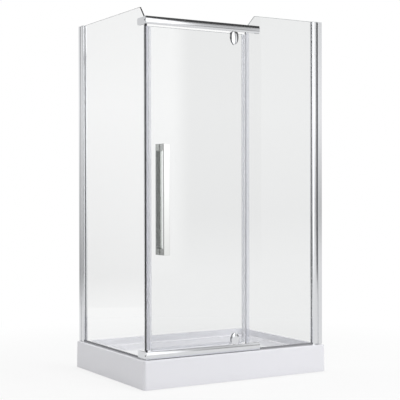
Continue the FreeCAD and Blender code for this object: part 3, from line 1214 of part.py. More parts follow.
def pivot_pin(name, glass_gap, root, upwards):
    """Steel pin fixed in a hinge casting and standing into the bush of its rail."""
    pin = new_body(name)
    socket = (f"({glass_gap} - size.hinge_rail_gap - size.pad_thickness - size.pin_socket_floor"
              " - size.running_gap)")
    length = f"{socket} + size.hinge_rail_gap + size.pin_engagement"
    outline = ("0", "0", "size.pin_radius")
    pad(pin, draw(pin, "XY_Plane", [outline]), length, backwards=not upwards)
    way = 1 if upwards else -1
    soften(pin, "size.pin_chamfer", lambda edge: lies_at(edge, "Z", way * number(length)), "Chamfer")
    return place(pin, PIVOT_X, RAIL_MID, f"{root} - {way} * {socket}")


def make_door_seals():
    """Magnetic strip on the opening edge, fin on the pivot side, drip seal under the door."""
    leg, grip = "size.clip_leg", "size.seal_grip"
    outer, inner = f"({DOOR_OUT} - {grip} - {leg})", f"({DOOR_IN} + {grip} + {leg})"
    near, far = f"{DOOR_OUT} - {grip}", f"{DOOR_IN} + {grip}"
    height = f"{DOOR_TOP} - {DOOR_BOTTOM}"

    magnetic = new_body("door_magnetic_seal")
    web, tip = f"({DOOR_LEFT} - {grip})", f"{DOOR_LEFT} + size.magnet_leg_length"
    section = [(SIDE_OUT, outer), (tip, outer), (tip, near), (web, near), (web, far), (tip, far),
               (tip, inner), (SIDE_OUT, inner)]
    centre, half = f"(({SIDE_OUT} + {web}) / 2)", "size.magnet_width / 2"
    magnet_back = f"({inner} - size.running_gap)"
    chamber = box_loop(f"{centre} - {half}", f"{magnet_back} - size.magnet_depth",
                       f"{centre} + {half}", magnet_back)
    pad(magnetic, draw(magnetic, "XY_Plane", [section, chamber], DOOR_BOTTOM), height)
    keep(magnetic, "door_magnetic_seal")
    magnet = new_body("door_magnet")
    gap = "size.fit_gap"
    bar = box_loop(f"{centre} - {half} + {gap}", f"{magnet_back} - size.magnet_depth + {gap}",
                   f"{centre} + {half} - {gap}", f"{magnet_back} - {gap}")
    pad(magnet, draw(magnet, "XY_Plane", [bar], DOOR_BOTTOM), height)
    keep(magnet, "door_magnet")

    fin = new_body("door_edge_seal")
    root, web = f"{DOOR_RIGHT} - size.edge_leg_length", f"{DOOR_RIGHT} + {grip}"
    end, reach = f"{DOOR_RIGHT} + {grip} + {leg}", f"{DOOR_RIGHT} + size.edge_fin_reach"
    fin_low = f"{inner} - size.fin_thickness"
    section = [(root, outer), (end, outer), (end, fin_low), (reach, fin_low), (reach, inner),
               (root, inner), (root, far), (web, far), (web, near), (root, near)]
    pad(fin, draw(fin, "XY_Plane", [section], DOOR_BOTTOM), height)
    keep(fin, "door_edge_seal")

    gap, half = "size.running_gap", "size.hinge_width / 2"
    gather("door_drip_seal", [
        drip_seal("left_drip_seal", f"({tip} + {gap})", f"({PIVOT_X} - {half} - {gap})"),
        drip_seal("right_drip_seal", f"({PIVOT_X} + {half} + {gap})", f"({root} - {gap})"),
    ])


def drip_seal(name, start, end):
    """Length of bottom seal: two legs up the glass and two lips down towards the rail."""
    body = new_body(name)
    leg, grip, lip = "size.clip_leg", "size.seal_grip", "size.fin_thickness"
    outer, inner = f"{DOOR_OUT} - {grip} - {leg}", f"{DOOR_IN} + {grip} + {leg}"
    near, far = f"{DOOR_OUT} - {grip}", f"{DOOR_IN} + {grip}"
    top, web = f"{DOOR_BOTTOM} + size.drip_rise", f"({DOOR_BOTTOM} - {grip})"
    under, lips = f"{web} - size.drip_web", f"{LOW_RAIL_TOP} + size.running_gap"
    section = [(outer, lips), (f"{outer} + {lip}", lips), (f"{outer} + {lip}", under),
               (f"{inner} - {lip}", under), (f"{inner} - {lip}", lips), (inner, lips),
               (inner, top), (far, top), (far, web), (near, web), (near, top), (outer, top)]
    pad(body, draw(body, "YZ_Plane", [section], start), f"{end} - {start}")
    return body


def make_handle(label, face, outwards):
    """D-shaped flat-bar pull: bar and two posts in one outline, bored for the glass bosses."""
    body = new_body(label)
    reach, bar = "size.handle_projection", "size.handle_bar_thickness"
    post, radius = "size.handle_post_height", "size.handle_inner_radius"
    low, high = HANDLE_LOW, HANDLE_HIGH
    side = -1 if outwards else 1
    back = f"({reach} - {bar})"
    outline = [("0", low), (reach, low), (reach, high), ("0", high), ("0", f"{high} - {post}"),
               (f"{back} - {radius}", f"{high} - {post}", radius, -side),
               (back, f"{high} - {post} - {radius}"),
               (back, f"{low} + {post} + {radius}", radius, -side),
               (f"{back} - {radius}", f"{low} + {post}"), ("0", f"{low} + {post}")]
    outline = [(f"{side} * ({corner[0]})", *corner[1:]) for corner in outline]
    pad(body, draw(body, "YZ_Plane", [outline]), "size.handle_width")
    front = side * number(reach)
    soften(body, "size.handle_edge_radius",
           lambda edge: lies_at(edge, "Y", front) or is_handle_end(edge))
    bores = [("size.handle_width / 2", z, "size.boss_radius + size.fit_gap") for z in POST_LEVELS]
    pocket(body, draw(body, "XZ_Plane", bores), "size.boss_length + size.running_gap",
           backwards=outwards)
    grub = [(f"{side} * size.grub_from_glass", z, "size.grub_radius + size.fit_gap")
            for z in POST_LEVELS]
    pocket(body, draw(body, "YZ_Plane", grub), "size.handle_width / 2", backwards=True)
    return keep(place(body, HANDLE_X, face), label)


def is_handle_end(edge):
    """True for an edge across the pull at one of its two ends."""
    ends = (number(HANDLE_LOW), number(HANDLE_HIGH))
    return runs_along(edge, (0, 1, 0)) and any(lies_at(edge, "Z", end) for end in ends)


def make_handles():
    """Back-to-back pulls with their bosses, washers, through studs and grub screws."""
    outer_face = f"({DOOR_OUT} - size.washer_thickness)"
    inner_face = f"({DOOR_IN} + size.washer_thickness)"
    make_handle("outer_handle", outer_face, True)
    make_handle("inner_handle", inner_face, False)

    stud = new_body("handle_stud")
    span = ("(size.glass_thickness / 2 + size.washer_thickness + size.boss_length"
            " - size.handle_stud_gap)")
    pad(stud, draw(stud, "XZ_Plane", [("0", "0", "size.handle_stud_radius")]), f"{span} * 2",
        both_ways=True)
    copies("handle_studs", stud, [dict(x=HANDLE_MID_X, y=RAIL_MID, z=z) for z in POST_LEVELS])

    bore = ("0", "0", "size.handle_stud_radius + size.fit_gap")
    boss = new_body("handle_boss")
    pad(boss, draw(boss, "XZ_Plane", [("0", "0", "size.boss_radius"), bore]), "size.boss_length")
    boss_spots = [outer_face, f"{inner_face} + size.boss_length"]
    copies("handle_bosses", boss,
           [dict(x=HANDLE_MID_X, y=y, z=z) for y in boss_spots for z in POST_LEVELS])

    washer = new_body("handle_washer")
    disc = [("0", "0", "size.washer_radius"), bore]
    pad(washer, draw(washer, "XZ_Plane", disc), "size.washer_thickness")
    washer_spots = [DOOR_OUT, f"{DOOR_IN} + size.washer_thickness"]
    copies("handle_washers", washer,
           [dict(x=HANDLE_MID_X, y=y, z=z) for y in washer_spots for z in POST_LEVELS])

    grub = new_body("handle_grub_screw")
    pad(grub, draw(grub, "YZ_Plane", [("0", "0", "size.grub_radius")]), "size.grub_length")
    x = f"{HANDLE_MID_X} - size.boss_radius - size.grub_length"
    levels = [f"{outer_face} - size.grub_from_glass", f"{inner_face} + size.grub_from_glass"]
    copies("handle_grub_screws", grub,
           [dict(x=x, y=y, z=z) for y in levels for z in POST_LEVELS])


# ---------------------------------------------------------------- assembly and export

def build():
    """Make every sub-part, from the tray upwards and then the door."""
    make_tray()
    make_backing_board()
    make_frame()
    make_feet()
    make_waste()
    make_waste_insert()
    make_side_glass()
    make_fixed_glass()
    make_door_glass()
    make_jamb("left", dict(x=SIDE_MID, y=BACK, turn=-90), inner=1)
    make_jamb("right", dict(x=RIGHT, y=FIXED_MID, turn=180), inner=-1)
    make_rails()
    make_rail_end_caps()
    make_pivot_bushes()
    make_corner_clamp("bottom_corner_clamp", LOW_RAIL)
    make_corner_clamp("top_corner_clamp", HIGH_RAIL)
    make_clamp_pieces()
    make_clips()
    make_bottom_seals()
    make_strike_seal()
    make_fixed_edge_seal()
    make_hinges()
    make_door_seals()
    make_handles()


def check():
    """Stop with a plain message if any object failed or any sub-part is not a sound solid."""
    for item in doc.Objects:
        if "Invalid" in item.State or "Error" in item.State:
            raise RuntimeError(f"{item.Label} did not compute: {item.State}")
    for piece in pieces:
        shape = piece.Shape
        if shape.isNull() or not shape.isValid() or not shape.Solids or shape.Volume <= 0:
            raise RuntimeError(f"{piece.Label} has no sound solid")


def export():
    """Write each sub-part to its own file."""
    os.makedirs("parts", exist_ok=True)
    for piece in pieces:
        piece.Shape.exportStep(os.path.join("parts", f"{piece.Label}.step"))
        print(f"{piece.Label}: {len(piece.Shape.Solids)} solid(s), {piece.Shape.Volume:.0f} mm3")


build()
doc.recompute()
check()
export()
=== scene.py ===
"""Looks of the shower enclosure: finishes for every node, fine pieces, studio, lamps and camera."""

import logging
import math
from dataclasses import dataclass
from enum import Enum

import bmesh
import bpy
from mathutils import Matrix, Vector


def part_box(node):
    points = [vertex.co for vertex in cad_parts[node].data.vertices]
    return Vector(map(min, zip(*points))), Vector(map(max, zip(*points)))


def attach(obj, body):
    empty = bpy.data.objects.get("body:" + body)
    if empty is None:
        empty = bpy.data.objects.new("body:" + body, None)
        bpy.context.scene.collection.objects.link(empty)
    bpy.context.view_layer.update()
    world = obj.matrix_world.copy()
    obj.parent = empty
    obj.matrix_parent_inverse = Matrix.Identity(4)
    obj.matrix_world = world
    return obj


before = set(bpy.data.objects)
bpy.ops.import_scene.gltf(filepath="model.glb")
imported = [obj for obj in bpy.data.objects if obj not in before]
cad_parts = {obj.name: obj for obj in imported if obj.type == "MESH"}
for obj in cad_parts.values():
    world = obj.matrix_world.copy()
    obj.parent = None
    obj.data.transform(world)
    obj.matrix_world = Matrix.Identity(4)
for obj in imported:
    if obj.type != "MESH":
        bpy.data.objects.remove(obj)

LOG = logging.getLogger("shower_enclosure")
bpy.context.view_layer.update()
Colour = tuple[float, float, float]
Point = tuple[float, float, float]
Socket = bpy.types.NodeSocket
UNSCALED: Point = (1.0, 1.0, 1.0)
# A plane of size 1 runs from minus this to plus this in its own coordinates.
HALF_PLANE: float = 0.5
# Length of one band of the wave texture at scale 1.
WAVE_BAND: float = math.pi / 10.0


class Axis(Enum):
    """Directions in the shared frame."""

    X = (1.0, 0.0, 0.0)
    Y = (0.0, 1.0, 0.0)
    Z = (0.0, 0.0, 1.0)

    @property
    def vector(self) -> Vector:
        """The direction as a vector."""
        return Vector(self.value)

    @property
    def index(self) -> int:
        """Which of a point's three values runs along it."""
        return self.value.index(1.0)


class Grain(Enum):
    """How a surface's fine unevenness runs, as scales on the object's coordinates."""

    EVEN = (40.0, 40.0, 40.0)
    ALONG_X = (2.0, 900.0, 900.0)
    ALONG_Z = (900.0, 900.0, 2.0)


# ------------------------------------------------------------------ finishes


@dataclass(frozen=True)
class Crown:
    """How a face rounds off along object X.

    It starts to drop at the level line and has dropped by the whole depth at the edge.
    """

    edge: float
    level: float
    depth: float


class NodeTree:
    """A small helper around the nodes of one material or world."""

    def __init__(self, owner: bpy.types.Material | bpy.types.World, output: str) -> None:
        """Clears the owner's nodes and gives it an output.

        Args:
            owner: the material or world.
            output: type name of its output node.
        """
        self.owner = owner
        owner.use_nodes = True
        self.tree = owner.node_tree
        self.tree.nodes.clear()
        self.output = self.add(output)

    @classmethod
    def of_material(cls, name: str) -> "NodeTree":
        """The nodes of a new material."""
        return cls(bpy.data.materials.new(name), "ShaderNodeOutputMaterial")

    @classmethod
    def of_world(cls, name: str) -> "NodeTree":
        """The nodes of a new world."""
        return cls(bpy.data.worlds.new(name), "ShaderNodeOutputWorld")

    def add(self, kind: str, **values: object) -> bpy.types.Node:
        """Adds a node and sets its plain properties.

        Args:
            kind: the node's type name.
            **values: properties of the node.

        Returns:
            The new node.
        """
        node = self.tree.nodes.new(kind)
        for key, value in values.items():
            setattr(node, key, value)
        return node

    def set(self, node: bpy.types.Node, **values: object) -> None:
        """Sets sockets by name; an underscore in a name stands for a space.

        Args:
            node: the node to set.
            **values: socket values.
        """
        for key, value in values.items():
            node.inputs[key.replace("_", " ")].default_value = value

    def link(self, source: Socket, target: Socket) -> None:
        """Links two sockets."""
        self.tree.links.new(source, target)

    def show(self, surface: Socket) -> None:
        """Links the finished shader to the output."""
        self.link(surface, self.output.inputs["Surface"])

    def ray(self, kind: str) -> Socket:
        """What the Light Path node says of the present ray."""
        return self.add("ShaderNodeLightPath").outputs[kind]

    def maths(self, operation: str, *terms: Socket | float, clamped: bool = False) -> Socket:
        """One step of arithmetic.

        Args:
            operation: the Math node's operation.
            *terms: sockets or plain numbers, in the node's order.
            clamped: whether the result is kept within 0 to 1.

        Returns:
            The value socket.
        """
        node = self.add("ShaderNodeMath", operation=operation, use_clamp=clamped)
        for index, term in enumerate(terms):
            if isinstance(term, float):
                node.inputs[index].default_value = term
            else:
                self.link(term, node.inputs[index])
        return node.outputs["Value"]

    def blend(self, factor: Socket, low: Colour, high: Colour) -> Socket:
        """A colour between two.

        Args:
            factor: 0 for the low colour, 1 for the high one.
            low: first colour.
            high: second colour.

        Returns:
            The colour socket.
        """
        mix = self.add("ShaderNodeMix", data_type="RGBA")
        mix.inputs["A"].default_value = (*low, 1.0)
        mix.inputs["B"].default_value = (*high, 1.0)
        self.link(factor, mix.inputs["Factor"])
        return mix.outputs["Result"]

    def choose(self, factor: Socket, first: Socket, second: Socket) -> Socket:
        """A shader between two.

        Args:
            factor: 0 for the first shader, 1 for the second.
            first: first shader.
            second: second shader.

        Returns:
            The shader socket.
        """
        mix = self.add("ShaderNodeMixShader")
        self.link(factor, mix.inputs["Fac"])
        self.link(first, mix.inputs[1])
        self.link(second, mix.inputs[2])
        return mix.outputs["Shader"]

    def coordinates(self, scale: Point = UNSCALED) -> Socket:
        """Object coordinates, scaled.

        Args:
            scale: factors along the three axes.

        Returns:
            The vector socket.
        """
        source = self.add("ShaderNodeTexCoord")
        mapping = self.add("ShaderNodeMapping")
        mapping.inputs["Scale"].default_value = scale
        self.link(source.outputs["Object"], mapping.inputs["Vector"])
        return mapping.outputs["Vector"]

    def place(self) -> bpy.types.Node:
        """The object coordinates as three values.

        Returns:
            The node with the outputs X, Y and Z.
        """
        split = self.add("ShaderNodeSeparateXYZ")
        self.link(self.coordinates(), split.inputs["Vector"])
        return split

    def noise(self, scale: Point, detail: float = 3.0) -> Socket:
        """A noise value on object coordinates.

        Args:
            scale: factors along the three axes.
            detail: number of octaves.

        Returns:
            The value socket.
        """
        noise = self.add("ShaderNodeTexNoise")
        self.set(noise, Scale=1.0, Detail=detail)
        self.link(self.coordinates(scale), noise.inputs["Vector"])
        return noise.outputs["Fac"]

    def span(self, value: Socket, low: float, high: float) -> Socket:
        """Maps a value from 0 to 1 onto a range.

        Args:
            value: the socket to map.
            low: result at 0.
            high: result at 1.

        Returns:
            The mapped value socket.
        """
        node = self.add("ShaderNodeMapRange")
        self.set(node, To_Min=low, To_Max=high)
        self.link(value, node.inputs["Value"])
        return node.outputs["Result"]

    def bump(self, height: Socket, distance: float, strength: float) -> Socket:
        """A bumped normal.

        Args:
            height: the height field.
            distance: bump height in metres.
            strength: how much of it shows.

        Returns:
            The normal socket.
        """
        node = self.add("ShaderNodeBump")
        self.set(node, Distance=distance, Strength=strength)
        self.link(height, node.inputs["Height"])
        return node.outputs["Normal"]

    def crown(self, shape: Crown) -> Socket:
        """The normal of a face that rounds off towards one edge along object X.

        Args:
            shape: where and how far the face drops.

        Returns:
            The normal socket.
        """
        along = self.add("ShaderNodeMapRange")
        self.set(along, From_Min=shape.level, From_Max=shape.edge)
        self.link(self.place().outputs["X"], along.inputs["Value"])
        drop = self.maths("POWER", along.outputs["Result"], 2.0)
        return self.bump(self.maths("SUBTRACT", 1.0, drop), shape.depth, 1.0)

    def seen(self) -> Socket:
        """1 for rays that show a surface, directly, in metal or through glass, and 0 for light bounces."""
        direct = self.maths("MAXIMUM", self.ray("Is Camera Ray"), self.ray("Is Glossy Ray"))
        return self.maths("MAXIMUM", direct, self.ray("Is Transmission Ray"))

    def band(self, value: Socket, start: float, end: float) -> Socket:
        """A smooth step from 0 at the start to 1 at the end.

        Args:
            value: the socket to test.
            start: where the step begins.
            end: where it is complete; less than the start for a falling step.

        Returns:
            The factor socket.
        """
        node = self.add("ShaderNodeMapRange", interpolation_type="SMOOTHSTEP")
        self.set(node, From_Min=start, From_Max=end)
        self.link(value, node.inputs["Value"])
        return node.outputs["Result"]


@dataclass(frozen=True)
class Finish:
    """An opaque finish: moulded, plated, extruded or plain metal.

    A spread is how far noise moves a value; heights and the thread's pitch are in metres. Of the
    thread, the crown and the grain, the first that a finish has shapes its normal.
    """

    name: str
    colour: Colour
    metallic: float = 0.0
    roughness: float = 0.4
    roughness_spread: float = 0.08
    coat: float = 0.0
    coat_roughness: float = 0.06
    grain: Grain = Grain.EVEN
    grain_height: float = 0.0
    grain_strength: float = 0.4
    tone_spread: float = 0.0
    tone_scale: Point = (9.0, 9.0, 9.0)
    tone_detail: float = 4.0
    thread_pitch: float = 0.0
    crown: Crown | None = None

    def build(self) -> bpy.types.Material:
        """Makes the material.

        Returns:
            The node material.
        """
        tree = NodeTree.of_material(self.name)
        shader = tree.add("ShaderNodeBsdfPrincipled")
        tree.set(shader, Metallic=self.metallic, Base_Color=(*self.colour, 1.0))
        tree.set(shader, Coat_Weight=self.coat, Coat_Roughness=self.coat_roughness)
        fine = tree.noise(self.grain.value)
        half = self.roughness_spread / 2
        rough = tree.span(fine, self.roughness - half, self.roughness + half)
        tree.link(rough, shader.inputs["Roughness"])
        if self.tone_spread:
            dark = tuple(channel * (1.0 - self.tone_spread) for channel in self.colour)
            cloud = tree.noise(self.tone_scale, self.tone_detail)
            tree.link(tree.blend(cloud, dark, self.colour), shader.inputs["Base Color"])
        normal = self.normal(tree, fine)
        if normal is not None:
            tree.link(normal, shader.inputs["Normal"])
        tree.show(shader.outputs["BSDF"])
        return tree.owner

    def normal(self, tree: NodeTree, fine: Socket) -> Socket | None:
        """The bumped normal, where the finish has one.

        Args:
            tree: the material's nodes.
            fine: the grain's noise.

        Returns:
            The normal socket, or nothing for a smooth finish.
        """
        if self.thread_pitch:
            wave = tree.add("ShaderNodeTexWave", wave_type="BANDS", bands_direction="Z",
                            wave_profile="TRI")
            tree.set(wave, Scale=WAVE_BAND / self.thread_pitch)
            tree.link(tree.coordinates(), wave.inputs["Vector"])
            return tree.bump(wave.outputs["Fac"], self.thread_pitch / 2, 1.0)
        if self.crown is not None:
            return tree.crown(self.crown)
        if self.grain_height:
            return tree.bump(fine, self.grain_height, self.grain_strength)
        return None


@dataclass(frozen=True)
class ClearFinish:
    """A see-through finish: glass pane or soft translucent strip.

    A pane's face counts as a cut edge where its normal's share along the pane axis is under
    edge_below. A strip's nose is the pair of places along Y between which it turns dark.
    """

    name: str
    colour: Colour
    edge_colour: Colour = (0.14, 0.2, 0.22)
    roughness: float = 0.0
    ior: float = 1.5
    transmission: float = 1.0
    pane_axis: Axis | None = None
    edge_below: float = 0.9
    nose: tuple[float, float] | None = None
    nose_colour: Colour = (0.02, 0.02, 0.024)

    def build(self) -> bpy.types.Material:
        """Makes the material; shadows pass through it, tinted once over its two faces.

        Returns:
            The node material.
        """
        tree = NodeTree.of_material(self.name)
        shader = tree.add("ShaderNodeBsdfPrincipled")
        tree.set(shader, Roughness=self.roughness, IOR=self.ior, Transmission_Weight=self.transmission,
                 Base_Color=(*self.colour, 1.0))
        if self.nose is not None:
            self.darken_nose(tree, shader)
        if self.pane_axis is not None:
            self.darken_edges(tree, shader)
        clear = tree.add("ShaderNodeBsdfTransparent")
        clear.inputs["Color"].default_value = (*(math.sqrt(channel) for channel in self.colour), 1.0)
        tree.show(tree.choose(tree.ray("Is Shadow Ray"), shader.outputs["BSDF"], clear.outputs["BSDF"]))
        return tree.owner

    def darken_nose(self, tree: NodeTree, shader: bpy.types.Node) -> None:
        """Makes the strip's front end dark and opaque.

        Args:
            tree: the material's nodes.
            shader: the strip's shader.
        """
        step = tree.band(tree.place().outputs["Y"], *self.nose)
        tree.link(tree.blend(step, self.colour, self.nose_colour), shader.inputs["Base Color"])
        tree.link(tree.span(step, self.transmission, 0.0), shader.inputs["Transmission Weight"])

    def darken_edges(self, tree: NodeTree, shader: bpy.types.Node) -> None:
        """Gives a pane's cut edges their deeper colour.

        Args:
            tree: the material's nodes.
            shader: the pane's shader.
        """
        source = tree.add("ShaderNodeTexCoord")
        facing = tree.add("ShaderNodeVectorMath", operation="DOT_PRODUCT")
        facing.inputs[1].default_value = self.pane_axis.value
        tree.link(source.outputs["Normal"], facing.inputs[0])
        edge = tree.maths("LESS_THAN", tree.maths("ABSOLUTE", facing.outputs["Value"]), self.edge_below)
        tree.link(tree.blend(edge, self.colour, self.edge_colour), shader.inputs["Base Color"])


AnyFinish = Finish | ClearFinish
# The inner handle's face rounds off towards its left edge, over this width and by this depth.
HANDLE_EDGE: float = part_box("inner_handle")[0].x
CROWN_WIDTH: float = 0.032
CROWN_DEPTH: float = 0.0165
# The strike seal turns dark between these two distances in front of its back face.
STRIKE_BACK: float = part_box("strike_seal")[1].y
NOSE_START: float = 0.006
NOSE_END: float = 0.008
CLEAR_PLASTIC: Colour = (0.94, 0.945, 0.97)


class Palette:
    """Every finish on the object, each made once and handed out by name."""

    ACRYLIC = Finish("acrylic_white", (0.84, 0.84, 0.88), roughness=0.18, roughness_spread=0.05,
                     coat=0.8)
    BOARD = Finish("board_raw", (0.5, 0.38, 0.24), roughness=0.75, grain=Grain.ALONG_X,
                   grain_height=0.0003, tone_spread=0.25)
    GALVANISED = Finish("steel_galvanised", (0.56, 0.58, 0.6), metallic=0.9, roughness=0.42,
                        roughness_spread=0.2, tone_spread=0.2)
    THREADED = Finish("steel_threaded", (0.62, 0.62, 0.6), metallic=1.0, roughness=0.3,
                      thread_pitch=0.0015)
    ZINC = Finish("steel_zinc", (0.66, 0.67, 0.66), metallic=1.0, roughness=0.28)
    STAINLESS = Finish("steel_stainless", (0.72, 0.72, 0.72), metallic=1.0, roughness=0.22)
    CHROME = Finish("chrome_bright", (0.84, 0.85, 0.87), metallic=1.0, roughness=0.07,
                    roughness_spread=0.02)
    HANDLE = Finish("steel_polished", (0.72, 0.73, 0.72), metallic=1.0, roughness=0.09,
                    roughness_spread=0.03, grain=Grain.ALONG_Z, grain_height=0.00001)
    # The inner handle's steel is a little darker and greener than the outer handle's: painted shade. Its
    # crowned face is a real bump.
    HANDLE_INNER_SHADED = Finish("steel_polished_crowned_shaded", (0.68, 0.7, 0.68), metallic=1.0, roughness=0.12,
                          roughness_spread=0.03, grain=Grain.ALONG_Z,
                          crown=Crown(HANDLE_EDGE, HANDLE_EDGE + CROWN_WIDTH, CROWN_DEPTH))
    RAIL = Finish("rail_bright", (0.84, 0.85, 0.87), metallic=1.0, roughness=0.1,
                  roughness_spread=0.03, grain=Grain.ALONG_X, grain_height=0.00002)
    JAMB = Finish("jamb_bright", (0.85, 0.86, 0.88), metallic=1.0, roughness=0.14,
                  roughness_spread=0.03, grain=Grain.ALONG_Z, grain_height=0.00002)
    RUBBER = Finish("rubber_black", (0.025, 0.025, 0.028), roughness=0.6, tone_spread=0.3)
    SOFT_GREY = Finish("rubber_grey", (0.3, 0.3, 0.315), roughness=0.5, tone_spread=0.2)
    MAGNET = Finish("magnet_strip", (0.08, 0.07, 0.065), roughness=0.55, tone_spread=0.2)
    WHITE = Finish("plastic_white", (0.78, 0.78, 0.77), roughness=0.4)
    GREY = Finish("plastic_silver_grey", (0.6, 0.61, 0.63), roughness=0.4)
    BLACK = Finish("plastic_black", (0.03, 0.03, 0.032), roughness=0.5, tone_spread=0.2)
    # Near-black for the bottoms of hexagon sockets: painted shade, not the screws' own steel.
    SOCKET_SHADE = Finish("socket_painted_shade", (0.05, 0.05, 0.055), metallic=0.6, roughness=0.5)
    GLASS_SIDE = ClearFinish("glass_side", (0.94, 0.945, 0.945), pane_axis=Axis.X)
    GLASS_FRONT = ClearFinish("glass_front", (0.845, 0.852, 0.852), pane_axis=Axis.Y)
    STRIP = ClearFinish("strip_translucent", CLEAR_PLASTIC, roughness=0.16, ior=1.35, transmission=0.8)
    STRIP_CLEAR = ClearFinish("strip_clear", CLEAR_PLASTIC, roughness=0.08, ior=1.35, transmission=0.95)
    STRIKE = ClearFinish("strip_dark_nose", CLEAR_PLASTIC, roughness=0.16, ior=1.35, transmission=0.85,
                         nose=(STRIKE_BACK - NOSE_START, STRIKE_BACK - NOSE_END))
    PALE_MAGNET = Finish("magnet_strip_pale", (0.62, 0.62, 0.68), roughness=0.5, tone_spread=0.1)

    def __init__(self) -> None:
        """Starts with no material made."""
        self.made: dict[str, bpy.types.Material] = {}

    def get(self, finish: AnyFinish) -> bpy.types.Material:
        """The material of a finish, made on first use.

        Args:
            finish: the finish wanted.

        Returns:
            Its material.
        """
        if finish.name not in self.made:
            self.made[finish.name] = finish.build()
        return self.made[finish.name]


# ------------------------------------------------------------------ sub-assemblies


@dataclass(frozen=True)
class HexShadePlug:
    """A dark hexagonal plug that paints the shade at the bottom of a hexagon socket, its middle sunk by
    the recess below the screw's head.
    """

    flats: float = 0.003
    depth: float = 0.0006
    recess: float = 0.0014

    def make(self, name: str, centre: Point, axis: Axis) -> bpy.types.Object:
        """Builds the hexagonal plug of painted shade.

        Args:
            name: the piece's name.
            centre: the plug's middle.
            axis: the screw's axis.

        Returns:
            The finished object, at the origin.
        """
        bpy.ops.object.select_all(action="DESELECT")
        bpy.ops.mesh.primitive_cylinder_add(
            vertices=6, radius=self.flats / math.sqrt(3.0), depth=self.depth, location=centre,
            rotation=Axis.Z.vector.rotation_difference(axis.vector).to_euler())
        piece = bpy.context.object
        piece.name = name
        piece.data.name = name
        bpy.ops.object.transform_apply(location=True, rotation=True, scale=True)
        return piece


def join_pieces(name: str, pieces: list[bpy.types.Object]) -> bpy.types.Object:
    """Joins several objects into one.

    Args:
        name: name of the joined piece.
        pieces: the objects to join.

    Returns:
        The joined object.
    """
    bpy.ops.object.select_all(action="DESELECT")
    for piece in pieces:
        piece.select_set(True)
    bpy.context.view_layer.objects.active = pieces[0]
    bpy.ops.object.join()
    joined = bpy.context.object
    joined.name = name
    joined.data.name = name
    return joined


def corners_of(node: str, weld: float = 1e-6, digits: int = 4) -> list[tuple[Vector, Vector]]:
    """Lowest and highest corner of each loose solid in a node.

    Args:
        node: the node's name.
        weld: how close two points are that count as one.
        digits: decimals that the order goes by.

    Returns:
        A list of (low, high) corners, ordered by height, then along X, then along Y.
    """
    shape = bmesh.new()
    shape.from_mesh(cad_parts[node].data)
    bmesh.ops.remove_doubles(shape, verts=shape.verts, dist=weld)
    left = set(shape.verts)
    boxes: list[tuple[Vector, Vector]] = []
    while left:
        stack = [left.pop()]
        points = []
        while stack:
            vertex = stack.pop()
            points.append(vertex.co.copy())
            for edge in vertex.link_edges:
                other = edge.other_vert(vertex)
                if other in left:
                    left.remove(other)
                    stack.append(other)
        low = Vector([min(along) for along in zip(*points)])
        high = Vector([max(along) for along in zip(*points)])
        boxes.append((low, high))
    shape.free()
    return sorted(boxes, key=lambda pair: tuple(round(pair[0][i], digits) for i in (2, 0, 1)))


@dataclass
class SubAssembly:
    """A group of nodes that is dressed together, with any fine pieces of its own."""

    palette: Palette
    title: str = "sub-assembly"
    # Shape of the dark plugs that paint the shade in the screw sockets.
    socket: HexShadePlug = HexShadePlug()

    def finishes(self) -> dict[str, AnyFinish]:
        """Which finish each CAD node takes."""
        return {}

    def dress(self) -> None:
        """Gives every node of the group its material."""
        for node, finish in self.finishes().items():
            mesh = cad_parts[node].data
            material = self.palette.get(finish)
            mesh.materials.clear()
            mesh.materials.append(material)
            LOG.info("%s: %s in %s", self.title, node, finish.name)

    def build(self) -> None:
        """Makes the group's fine pieces; most groups have none."""

    def add_sockets(self, node: str, axis: Axis, body: str) -> None:
        """Puts a dark plug at the bottom of each screw head's recess, as painted shade in its hexagon
        socket.

        Args:
            node: the node that holds the screws, their heads on the axis's positive side.
            axis: the screws' axis.
            body: the body the screws belong to.
        """
        sockets = []
        for number, (low, high) in enumerate(corners_of(node)):
            centre = (low + high) / 2
            centre[axis.index] = high[axis.index] - self.socket.recess
            sockets.append(self.socket.make(f"{node}_socket_{number}", tuple(centre), axis))
        piece = join_pieces(f"{node}_sockets", sockets)
        # The plugs take the near-black socket material, which is painted shade.
        piece.data.materials.append(self.palette.get(Palette.SOCKET_SHADE))
        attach(piece, body)
        LOG.info("sockets on %s: %d", node, len(sockets))


@dataclass
class Tray(SubAssembly):
    """Tray, stiffening board, welded frame and levelling feet."""

    title: str = "tray"

    def finishes(self) -> dict[str, AnyFinish]:
        """Which finish each CAD node takes."""
        return {
            "tray": Palette.ACRYLIC, "tray_backing_board": Palette.BOARD,
            "tray_frame": Palette.GALVANISED, "foot_pads": Palette.BLACK,
            "foot_studs": Palette.THREADED, "foot_locknuts": Palette.ZINC,
        }


@dataclass
class Waste(SubAssembly):
    """Trap, flange and the lift-out cover."""

    title: str = "waste"

    def finishes(self) -> dict[str, AnyFinish]:
        """Which finish each CAD node takes."""
        return {
            "trap_body": Palette.WHITE, "trap_gasket": Palette.RUBBER, "trap_flange": Palette.STAINLESS,
            "waste_cover": Palette.CHROME, "waste_strainer": Palette.WHITE,
        }


